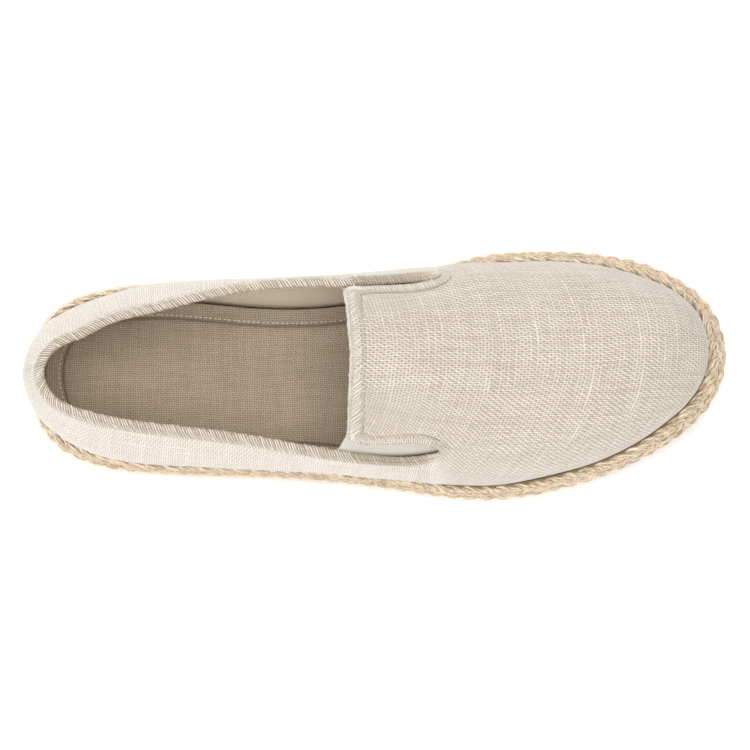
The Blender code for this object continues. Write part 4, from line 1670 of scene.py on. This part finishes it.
@dataclass
class Stitching:
    """A row of equal stitches along a line, laid by a Geometry Nodes tree."""

    pitch: float
    turn_jitter: float = 8.0
    size_jitter: float = 0.12

    @staticmethod
    @cache
    def tree() -> Tree:
        """Resamples a line and puts a stitch on each of its points.

        Returns:
            The node tree.
        """
        numbers = dict.fromkeys(("Pitch", "Turn jitter", "Size jitter"), "Float")
        made = GeometryTree("stitches", {"Line": "Geometry", "Stitch": "Object", "Seed": "Int", **numbers})
        given, wire = made.given, made.wire

        def chance(low: Wire | float, high: Wire | float, salt: int) -> Wire:
            """A random number between two for each stitch."""
            seed = given["Seed"] + salt
            return wire("FunctionNodeRandomValue", {"data_type": "FLOAT"}, Min=low, Max=high, Seed=seed)

        line = wire("GeometryNodeMeshToCurve", Mesh=given["Line"])
        at = wire("GeometryNodeResampleCurve", {"mode": "LENGTH"}, Curve=line, Length=given["Pitch"])
        axes = {"primary_axis": "Z", "secondary_axis": "X"}
        out, run = made.vector("out"), wire("GeometryNodeInputTangent")
        stance = wire("FunctionNodeAxesToRotation", axes, Primary_Axis=out, Secondary_Axis=run)
        stitch = wire("GeometryNodeObjectInfo", None, "Geometry", Object=given["Stitch"])
        size, turn = given["Size jitter"], given["Turn jitter"]
        scale = chance(size * -1.0 + 1.0, size + 1.0, 1)
        laid = wire("GeometryNodeInstanceOnPoints", Points=at, Instance=stitch, Rotation=stance, Scale=scale)
        turned = wire("ShaderNodeCombineXYZ", Z=chance(turn * -1.0, turn, 2))
        twist = wire("FunctionNodeEulerToRotation", Euler=turned)
        laid = wire("GeometryNodeRotateInstances", Instances=laid, Rotation=twist)
        return made.end(made.keep(laid, "tone", chance(0.0, 1.0, 3), "INSTANCE"))

    def lay(
        self, name: str, lines: Sequence[Pair], stitch: Stitch, finish: Finish, seed: int
    ) -> Object:
        """Sews along some lines.

        Args:
            name: The piece's name.
            lines: Points of each line, and the directions out of the cloth there.
            stitch: The stitch.
            finish: The thread's finish.
            seed: For the small differences between stitches.

        Returns:
            One mesh of all the stitches.
        """
        pattern = stitch.build()
        points, outs = (np.concatenate(part) for part in zip(*lines))
        ends = np.cumsum([len(line) for line, _ in lines]) - 1
        edges = [(k, k + 1) for k in range(len(points) - 1) if k not in ends]
        inputs = {
            "Stitch": pattern,
            "Pitch": self.pitch * MM,
            "Turn jitter": math.radians(self.turn_jitter),
            "Size jitter": self.size_jitter,
            "Seed": seed,
            "Finish": finish.material(),
        }
        made = run_tree(mesh_object(name, points, edges, [], {"out": outs}), self.tree(), inputs)
        bpy.data.objects.remove(pattern)
        return made


@dataclass
class Seam:
    """One kind of overcast edge: where its stitches start, how they lean, their size and thread."""

    name: str
    hem: Hem
    band: float  # how far below the edge a stitch starts
    slant: float  # how far along the edge it leans for each mm of its run
    pitch: float
    radius: float
    finish: Finish

    def stitch(self) -> Stitch:
        """Bends one stitch over the rolled edge, from the seam over the lip to the lining.

        Returns:
            The stitch.
        """
        hem, flat = self.hem, self.band - self.hem.roll
        ys = [-flat, -flat * 0.66, -flat * 0.33, 0.0]
        zs = [-0.15, 0.12, 0.17, 0.12]
        for angle in np.radians((35, 70, 105, 140)):
            ys.append((hem.roll + 0.1) * math.sin(angle))
            zs.append(-hem.lip / 2 + (hem.lip / 2 + 0.12) * math.cos(angle))
        run = run_length(np.stack([ys, zs], axis=1))
        return Stitch(np.stack([self.slant * (run - run[3]), ys, zs], axis=1), self.radius)


@dataclass
class Sewing:
    """The stitched edges of the upper, and the needle holes of the seam behind its apron."""

    upper: Upper
    end_gap: int = 5  # ribs left unsewn at each slit's end
    collar_reach: float = 3.0  # how far the collar's thread runs past the throat

    def build(self) -> None:
        """Sews the collar, the slits, the apron's sides and its back edge."""
        upper = self.upper
        loop = np.append(upper.edge, upper.edge[0])
        edge, out = upper.outside[loop], np.concatenate([upper.edge_out, upper.edge_out[:1]])
        q, b, c = upper.quarter_count, upper.back_start, upper.back_count
        behind = np.flatnonzero(edge[:q, 0] < upper.form.throat_x + self.collar_reach)
        first, last, skip = behind[0], behind[-1], self.end_gap
        collar, back = slice(first, last + 1), slice(b, b + c)
        inner_slit, outer_slit = slice(skip, first + 1), slice(last, q - skip)
        sides = slice(q + skip, b + 1), slice(b + c - 1, len(loop) - skip)
        slit, apron = Hem(upper.collar.seam, upper.collar.roll, upper.slit_lip), upper.apron
        rows = (
            (Seam("collar_stitches", upper.collar, 4.0, -0.55, 1.02, 0.2, THREAD), (collar,)),
            (Seam("outer_slit_stitches", slit, 3.2, -0.45, 1.02, 0.19, SLIT_THREAD), (outer_slit,)),
            (Seam("inner_slit_stitches", slit, 4.5, -0.45, 1.02, 0.19, SLIT_THREAD), (inner_slit,)),
            (Seam("apron_side_stitches", apron, 3.4, -0.12, 0.8, 0.15, APRON_THREAD), sides),
            (Seam("apron_back_stitches", apron, 5.1, -0.75, 0.8, 0.17, APRON_THREAD), (back,)),
        )
        for seed, (seam, stretches) in enumerate(rows):
            lines = [(edge[part], out[part]) for part in stretches]
            made = Stitching(seam.pitch).lay(seam.name, lines, seam.stitch(), seam.finish, seed)
            finish_piece(made, "linen")
        hole = Stitch([[-0.3, 0, -0.05], [0, 0, 0.1], [0.3, 0, -0.05]], 0.26)
        line = upper.offset_line(back, upper.apron_back_seam - apron.roll)
        finish_piece(Stitching(2.3).lay("seam_holes", [line], hole, NEEDLE_HOLE, 7), "linen")


@dataclass
class Gore:
    """The elastic under one slit."""

    form: ShoeForm
    side: Side
    columns: int = 60
    lines: int = 26
    thickness: float = 0.8
    quarter_depth: float = 2.6
    apron_depth: float = 1.75
    lap_quarter: float = 7.0
    lap_apron: float = 6.0
    back_overhang: float = 9.0
    back_inset: float = 1.5
    front_overhang: float = 5.0
    shut_inner: float = 1.8  # how much further the painted shade under the lip reaches at the inner slit, which is nearly shut
    far: float = 9.0  # stands for a lip that is nowhere near

    def build(self) -> None:
        """Makes the strip of elastic."""
        form, side = self.form, self.side
        share = np.linspace(0, 1, self.lines)[:, None]
        back = form.throat_x + self.back_inset - self.back_overhang * (1 - share)
        x = back + (form.slit_end_x + self.front_overhang - back) * np.linspace(0, 1, self.columns)[None]
        across, flat_x = np.broadcast_to(share, x.shape).ravel(), x.ravel()
        place = form.place_at(flat_x, side)
        low = form.climb_at_distance(place, -self.lap_quarter)
        high = form.climb_at_distance(place, form.slit_gap(flat_x, side) + self.lap_apron)
        climb = low + (high - low) * across
        normal = form.upper_normal(place, climb)
        depth = self.quarter_depth + (self.apron_depth - self.quarter_depth) * across
        outer = form.upper(place, climb) - normal * depth[:, None]
        lengths = np.linalg.norm(form.upper(place, high) - form.upper(place, low), axis=-1)
        uv = {"cloth": np.stack([flat_x, across * lengths], axis=1)}
        # Where the elastic's painted shade under the quarter's lip falls.
        past_lip = across * lengths - self.lap_quarter + form.slit_bow(flat_x, side)
        if side is Side.INNER:
            past_lip -= self.shut_inner
        parts = MeshParts()
        parts.add_points(outer, uv, {"past_lip": past_lip})
        parts.add_points(outer - normal * self.thickness, uv, {"past_lip": np.full(x.size, self.far)})
        top = np.arange(x.size).reshape(x.shape)
        parts.add_faces(grid_faces(top))
        parts.add_faces(grid_faces(top + x.size)[:, :, ::-1])
        rim = np.concatenate([top[0, :-1], top[:-1, -1], top[-1, :0:-1], top[:0:-1, 0]])
        parts.add_faces(grid_faces(np.array([rim + x.size, rim]), wrap=True))
        name = side.name.lower()
        finish_piece(clean_normals(parts.build(f"elastic_{name}", ELASTIC)), "elastic", f"gore_{name}")


# ---- Footbed, sole and braid ----


@dataclass
class Footbed:
    """The canvas footbed with its padded, stitched border."""

    form: ShoeForm
    ribs: RibPlan
    gap: float = 0.5
    thickness: float = 3.0
    rim_rise: float = 3.0
    rim_fade: tuple[float, float, float] = (20.0, 90.0, 0.6)  # from this x, over this run, by this share
    rim_width: float = 6.0
    padding: float = 0.9
    crease: float = 0.5
    bed: float = 0.35
    heel_cup: float = 0.7
    inner_rings: int = 26
    seed: int = 21

    def profile(self) -> Pair:
        """Works out the border's cross section.

        Returns:
            Distance in from the edge, ring by ring, and for each the share of the rim's rise and
            the height added to it.
        """
        inset = np.array([0.0, 0.15, 0.5, 1.0, 1.8, 2.7, 3.6, 4.5, 5.2, 5.6, 5.9, 6.15, 6.5, 7.0, 7.8, 9.0])
        w = self.rim_width
        pad = self.padding * np.sqrt(np.clip(1 - ((inset - w / 2) / (w / 2)) ** 2, 0, 1))
        crease = -self.crease * np.exp(-(((inset - w - 0.1) / 0.35) ** 2))
        bed = self.bed * smoothstep(w, w + 1.4, inset)
        return inset, np.stack([1 - smoothstep(0.0, w + 0.3, inset), pad + crease + bed], axis=1)

    def top(self, inset: float, lift: Array) -> Array:
        """A ring of the upper face.

        Args:
            inset: Distance in from the footbed's edge.
            lift: Share of the rim's rise, and height added to it.

        Returns:
            A point for each rib.
        """
        form, places = self.form, self.ribs.places
        plan = form.edge_point(places, form.foot_inset(places) + form.wall + self.gap + inset)
        start, run, fade = self.rim_fade
        rise = self.rim_rise * (1 - fade * np.clip((plan[:, 0] - start) / run, 0, 1))
        return raised(plan, form.deck_z(plan[:, 0]) + self.thickness + rise * lift[0] + lift[1])

    def build(self) -> None:
        """Makes the footbed and its row of stitches."""
        form = self.form
        insets, lifts = self.profile()
        rings = [self.top(i, l) for i, l in zip(insets, lifts)]
        edge, last = rings[0][:, :2], rings[-1][:, :2]
        spine_x = form.spine_x(form.sections(self.ribs.places)[:, 0])
        spine = np.stack([spine_x, form.ridge(spine_x)[:, 0]], axis=1)
        for share in np.linspace(0, 0.98, self.inner_rings)[1:]:
            plan = last + (spine - last) * share
            z = form.deck_z(plan[:, 0]) + self.thickness + lifts[-1][1]
            z = z - self.heel_cup * smoothstep(0, 1, share) * smoothstep(-50, -90, plan[:, 0])
            rings.append(raised(plan, z))
        grid = np.array([raised(edge, form.deck_z(edge[:, 0]) + form.fit_gap), *rings])
        # Distance from the border's crease, along which the canvas paints a dark line of shade.
        seam = np.full(len(grid), 9.0)
        seam[1 : len(insets) + 1] = (insets - self.rim_width - 0.1) * 0.8
        seam = np.broadcast_to(seam[:, None], grid.shape[:2])
        parts = MeshParts()
        parts.add_stack(grid, {"cloth": grid[..., :2]}, {"shade": seam * 0, "seam": seam})
        finish_piece(parts.build("footbed", CANVAS), "canvas", "insole")
        self.sew()

    def sew(self) -> None:
        """The running stitch round the border, just outside its crease."""
        inset = self.rim_width - 1.0
        insets, lifts = self.profile()
        line = self.top(inset, np.array([np.interp(inset, insets, lifts[:, k]) for k in (0, 1)]))
        line = np.concatenate([line, line[:1]])
        up = np.tile([0.0, 0.0, 1.0], (len(line), 1))
        stitch = Stitch([[-1.2, 0, -0.15], [-0.9, 0, 0.1], [0, 0, 0.2], [0.9, 0, 0.1], [1.2, 0, -0.15]], 0.3)
        hole = Stitch([[1.5, 0, -0.2], [1.8, 0, 0.04], [2.1, 0, -0.2]], 0.26)
        rows = ("footbed_stitches", stitch, INSOLE_THREAD), ("footbed_holes", hole, NEEDLE_HOLE)
        for name, shape, finish in rows:
            made = Stitching(3.6, 3.0, 0.05).lay(name, [(line, up)], shape, finish, self.seed)
            finish_piece(made, "canvas")


@dataclass
class Sole:
    """The rubber wall that carries the braid, and the looks of the tread under it."""

    form: ShoeForm
    ribs: RibPlan
    inset: float = 0.9
    outsole: float = 4.5

    def build(self) -> None:
        """Makes the wall as one closed body of rings, each at an inset and a height."""
        form, places, inset = self.form, self.ribs.places, self.inset
        ledge, foot = form.ledge_z(places), form.foot_inset(places)

        def ring(inwards: Numbers, share: float, lift: float = 0.0) -> Array:
            """A ring between the outsole and the ledge.

            Args:
                inwards: Distance in from the outermost edge.
                share: Share of the way up.
                lift: Height added to it.

            Returns:
                A point for each rib.
            """
            plan = form.edge_point(places, inwards + 0 * places)
            low = form.tread_z(plan[:, 0]) + self.outsole + form.fit_gap
            return raised(plan, low * (1 - share) + ledge * share + lift)

        rings = [ring(inset + 1.0, 0), ring(inset + 0.62, 0, 0.12), ring(inset + 0.5, 0, 0.5)]
        for share in (0.1, 0.2, 0.3, 0.42, 0.55, 0.7, 0.85, 0.95):
            swell = 0.35 * math.sin(math.pi * share)
            rings.append(ring(inset + 0.45 * (1 - share) - swell * 0.3, share))
        rings += [ring(inset + 0.1, 1, -0.15), ring(inset + 0.4, 1), ring(foot - 0.3, 1), ring(foot, 1, 0.3)]
        for inwards, drop in ((foot, 0.2), (foot + 0.2, 0.0)):
            plan = form.edge_point(places, inwards)
            rings.append(raised(plan, form.deck_z(plan[:, 0]) - drop))
        parts = MeshParts()
        parts.add_stack(np.array(rings))
        finish_piece(parts.build("sole_wall", FOAM), "foam_rubber", "midsole")
        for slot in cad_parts["outsole"].material_slots:
            slot.material = TREAD.material()


@dataclass
class Plait:
    """The jute braid round the sole: three flat strands of yarns, laid by Geometry Nodes."""

    form: ShoeForm
    turns: int = 31
    strands: int = 3
    plies: int = 4
    reach: float = 2.55
    square: float = 0.36  # how little a strand lingers at the edges: 0 is a square wave
    cross: float = 0.55
    yarn: float = 0.58
    spread: float = 1.12
    samples: int = 1000
    sides: int = 6
    core_sides: int = 12

    @staticmethod
    def slack(x: Array, y: Array) -> Pair:
        """How far the braid slackens beside the inner ball and at the heel's outer corner, 0 to 1."""
        ball = np.where(y > 0, smoothstep(12.0, 38.0, x) * smoothstep(118.0, 96.0, x), 0.0)
        return ball, smoothstep(-85.0, -105.0, x) * smoothstep(-8.0, -22.0, y)

    def guide(self) -> tuple[Array, Array, Array]:
        """Finds the braid's way round the sole.

        Returns:
            Its centre line, and its directions out of the shoe and up.
        """
        form = self.form
        places = np.linspace(0, form.round, 601)[:-1]
        across, up = form.braid_reach(places)
        x, y, lean = form.sections(places)[:, :3].T
        ball, heel = self.slack(x, y)
        tilt = np.radians(lean + 11.0 * ball + 6.0 * heel)
        cosine, sine = np.cos(tilt)[:, None], np.sin(tilt)[:, None]
        plan = form.edge_point(places, across - 0.75 * ball - 0.5 * heel)
        flat = raised(form.outward(places), np.zeros(len(places)))
        rise = np.tile([0.0, 0.0, 1.0], (len(places), 1))
        line = raised(plan, form.ledge_z(places) + form.fit_gap + up)
        return line, flat * cosine + rise * sine, rise * cosine - flat * sine

    def tree(self) -> Tree:
        """Winds the yarns along a closed line.

        Returns:
            The node tree.
        """
        numbers = ("Turns", "Reach", "Cross", "Yarn", "Spread", "Period")
        kinds = {"Line": "Geometry", "Samples": "Int", **dict.fromkeys(numbers, "Float")}
        made = GeometryTree("plait", kinds)
        turns, reach, cross, yarn, spread, period = (made.given[name] for name in numbers)
        wire = made.wire
        line = wire("GeometryNodeMeshToCurve", Mesh=made.given["Line"])
        even = wire("GeometryNodeResampleCurve", {"mode": "COUNT"}, Curve=line, Count=made.given["Samples"])
        share = wire("GeometryNodeSplineParameter")
        profile = wire("GeometryNodeCurvePrimitiveCircle", Resolution=self.sides, Radius=yarn)
        at = made.parts("ShaderNodeSeparateXYZ", Vector=wire("GeometryNodeInputPosition"))
        for name, length in zip(("cosine", "sine"), at):
            profile = made.keep(profile, name, length / yarn)
        out, up, run = made.vector("out"), made.vector("up"), wire("GeometryNodeInputTangent")
        yarns, k = made.node("GeometryNodeJoinGeometry"), self.square
        for strand in range(self.strands):
            angle = share * turns * TURN + TURN * strand / self.strands
            sine = angle.math("SINE")
            root = (sine * sine + k).math("SQRT")
            swing = sine / root * math.sqrt(1 + k)
            lean = angle.math("COSINE") / (root * root * root) * (k * math.sqrt(1 + k))
            steep = lean * reach / period * TURN
            length = (steep * steep + 1.0).math("SQRT")
            depth = (angle * -2.0).math("SINE") * cross
            for ply in (np.arange(self.plies) - (self.plies - 1) / 2).tolist():
                aside = spread * ply
                high = swing * reach + aside / length
                back = aside * steep / length * -1.0
                thick = depth + yarn * (0.25 - 0.12 * ply * ply)
                offset = out.scaled(thick).moved(up.scaled(high).moved(run.scaled(back)))
                path = wire("GeometryNodeSetPosition", Geometry=even, Offset=offset)
                wobble = (share * (71.0 + 5 * strand + 3 * ply)).math("SINE") * 0.12 + 0.5
                along = share * turns * period * (1.3 / MM) + 31.0 * (5 * strand + ply)
                path = made.keep(made.keep(path, "tone", wobble + 0.12 * ply), "along", along)
                swept = wire("GeometryNodeCurveToMesh", Curve=path, Profile_Curve=profile)
                plug(swept, yarns.inputs["Geometry"])
        return made.end(Wire(made.tree, yarns.outputs["Geometry"]))

    def build(self) -> None:
        """Makes the braid, its core and its fuzz."""
        line, out, up = self.guide()
        count = len(line)
        ends = [(k, (k + 1) % count) for k in range(count)]
        path = mesh_object("jute_plait", line, ends, [], {"out": out, "up": up})
        around = float(np.linalg.norm(np.roll(line, -1, axis=0) - line, axis=1).sum())
        inputs = {"Samples": self.samples, "Turns": float(self.turns), "Finish": JUTE.material()}
        lengths = ("Reach", self.reach), ("Cross", self.cross), ("Yarn", self.yarn), ("Spread", self.spread)
        for name, length in (*lengths, ("Period", around / self.turns)):
            inputs[name] = length * MM
        finish_piece(clean_normals(run_tree(path, self.tree(), inputs)), "jute", "jute_braid")
        self.core(line, out, up)
        self.fibres(line, out, up)

    def core(self, line: Array, out: Array, up: Array) -> None:
        """A flat body inside the plait, so that nothing shows through between the strands; its dark colour is
        painted shade there.

        Args:
            line: The braid's centre line.
            out: Its directions out of the shoe.
            up: And up.
        """
        turn = TURN * np.arange(self.core_sides)[:, None, None] / self.core_sides
        grid = line + out * (1.4 * np.cos(turn) - 1.0) + up * (1.75 * self.reach) * np.sin(turn)
        parts = MeshParts()
        parts.add_points(grid)
        index = np.arange(grid[..., 0].size).reshape(grid.shape[:2])
        parts.add_faces(grid_faces(np.concatenate([index, index[:1]]), wrap=True))
        finish_piece(clean_normals(parts.build("jute_core", JUTE_CORE)), "jute")

    def fibres(self, line: Array, out: Array, up: Array) -> None:
        """The fuzz of fine fibres that stand off the jute, and a few long loose ones.

        Args:
            line: The braid's centre line.
            out: Its directions out of the shoe.
            up: And up.
        """
        fuzz = [[-0.9, 0, -0.3], [-0.3, 0.1, 0.35], [0.4, 0.25, 0.65], [1.1, 0.3, 0.75]]
        loose = [[-2.5, 0, -0.4], [-0.8, 0.5, 1.0], [1.5, 0.3, 1.9], [4, -0.4, 2.0], [5.2, -0.6, 1.4]]
        rows = [(-2.8, -25, fuzz, 0.6), (-0.8, -5, fuzz, 0.5), (1.2, 15, fuzz, 0.55)]
        rows += [(3.0, 50, fuzz, 0.75), (0.5, 15, loose, 41.0)]
        for seed, (height, tilt, shape, pitch) in enumerate(rows):
            angle = math.radians(tilt)
            away = out * math.cos(angle) + up * math.sin(angle)
            points = line + up * height + out * 1.25
            closed = [np.concatenate([part, part[:1]]) for part in (points, away)]
            fibre = Stitch(shape, 0.055 if shape is loose else 0.05, sides=3)
            made = Stitching(pitch, 38.0, 0.35).lay(f"fibres_{seed}", [closed], fibre, JUTE_FIBRE, 30 + seed)
            finish_piece(made, "jute")


# ---- The studio ----


@dataclass
class Studio:
    """Floor, lights and camera."""

    target: tuple[float, float, float] = (-1.1, -0.2, 25.0)
    distance: float = 1000.0
    lean: float = 5.0
    view_width: float = 281.2
    sensor: float = 36.0
    floor_size: float = 3000.0
    floor_drop: float = 0.4
    sky: float = 0.18
    lamp_size: float = 900.0

    def build(self) -> None:
        """Sets them up."""
        bpy.context.scene.view_settings.view_transform = "Standard"
        self.floor()
        self.world()
        self.lamp("overhead", (0, 0, 1000), 8.75)
        self.lamp("outer_side", (0, -900, 380), 6.3)
        self.lamp("inner_side", (0, 900, 450), 5.6)
        self.lamp("heel", (-900, 0, 600), 5.3)
        self.lamp("toe", (900, 0, 600), 2.1)
        self.camera()

    def floor(self) -> None:
        """A wide plain floor just under the tread."""
        size, z = self.floor_size, -self.floor_drop
        corners = [(-size, -size, z), (size, -size, z), (size, size, z), (-size, size, z)]
        made = mesh_object("floor", corners, [], [(0, 1, 2, 3)])
        made.data.materials.append(FLOOR.material())

    def world(self) -> None:
        """Even white light from all round, which the camera sees as a plain white wall."""
        world = bpy.data.worlds.new("studio")
        world.use_nodes = True
        background = world.node_tree.nodes["Background"].inputs
        plug((1.0, 1.0, 1.0), background["Color"])
        seen = Nodes(world.node_tree).wire("ShaderNodeLightPath", output="Is Camera Ray")
        plug(seen * (1 - self.sky) + self.sky, background["Strength"])
        bpy.context.scene.world = world

    def lamp(self, name: str, place: tuple[float, float, float], power: float) -> None:
        """A square soft box that points at the shoe.

        Args:
            name: The lamp's name.
            place: Where it stands.
            power: In watts.
        """
        light = bpy.data.lights.new(name, "AREA")
        light.energy, light.size = power, self.lamp_size * MM
        made = link(bpy.data.objects.new(name, light))
        made.location = Vector(place) * MM
        made.rotation_euler = (Vector(self.target) * MM - made.location).to_track_quat("-Z", "Y").to_euler()

    def camera(self) -> None:
        """Looks down on the shoe, from a little to its outer side, with the toe to the right."""
        data = bpy.data.cameras.new("camera")
        data.sensor_width = self.sensor
        data.lens = self.sensor * self.distance / self.view_width
        data.clip_start, data.clip_end = 0.05, 20.0
        made = link(bpy.data.objects.new("camera", data))
        lean = math.radians(self.lean)
        away = Vector((0, -math.sin(lean), math.cos(lean))) * self.distance
        made.location = (Vector(self.target) + away) * MM
        made.rotation_euler = (lean, 0, 0)
        bpy.context.scene.camera = made


def main() -> None:
    """Builds the shoe piece by piece, then the studio."""
    logging.basicConfig(level=logging.INFO, format="%(name)s %(message)s", stream=sys.stdout)
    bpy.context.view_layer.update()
    form = ShoeForm()
    Sole(form, RibPlan(form, back=80, slit=20, front=60, toe=30)).build()
    Footbed(form, RibPlan(form, back=90, slit=24, front=70, toe=34)).build()
    Plait(form).build()
    upper = Upper(form, RibPlan(form), ClothMap(form))
    upper.build()
    Sewing(upper).build()
    for side in Side:
        Gore(form, side).build()
    Studio().build()


if __name__ == "__main__":
    main()
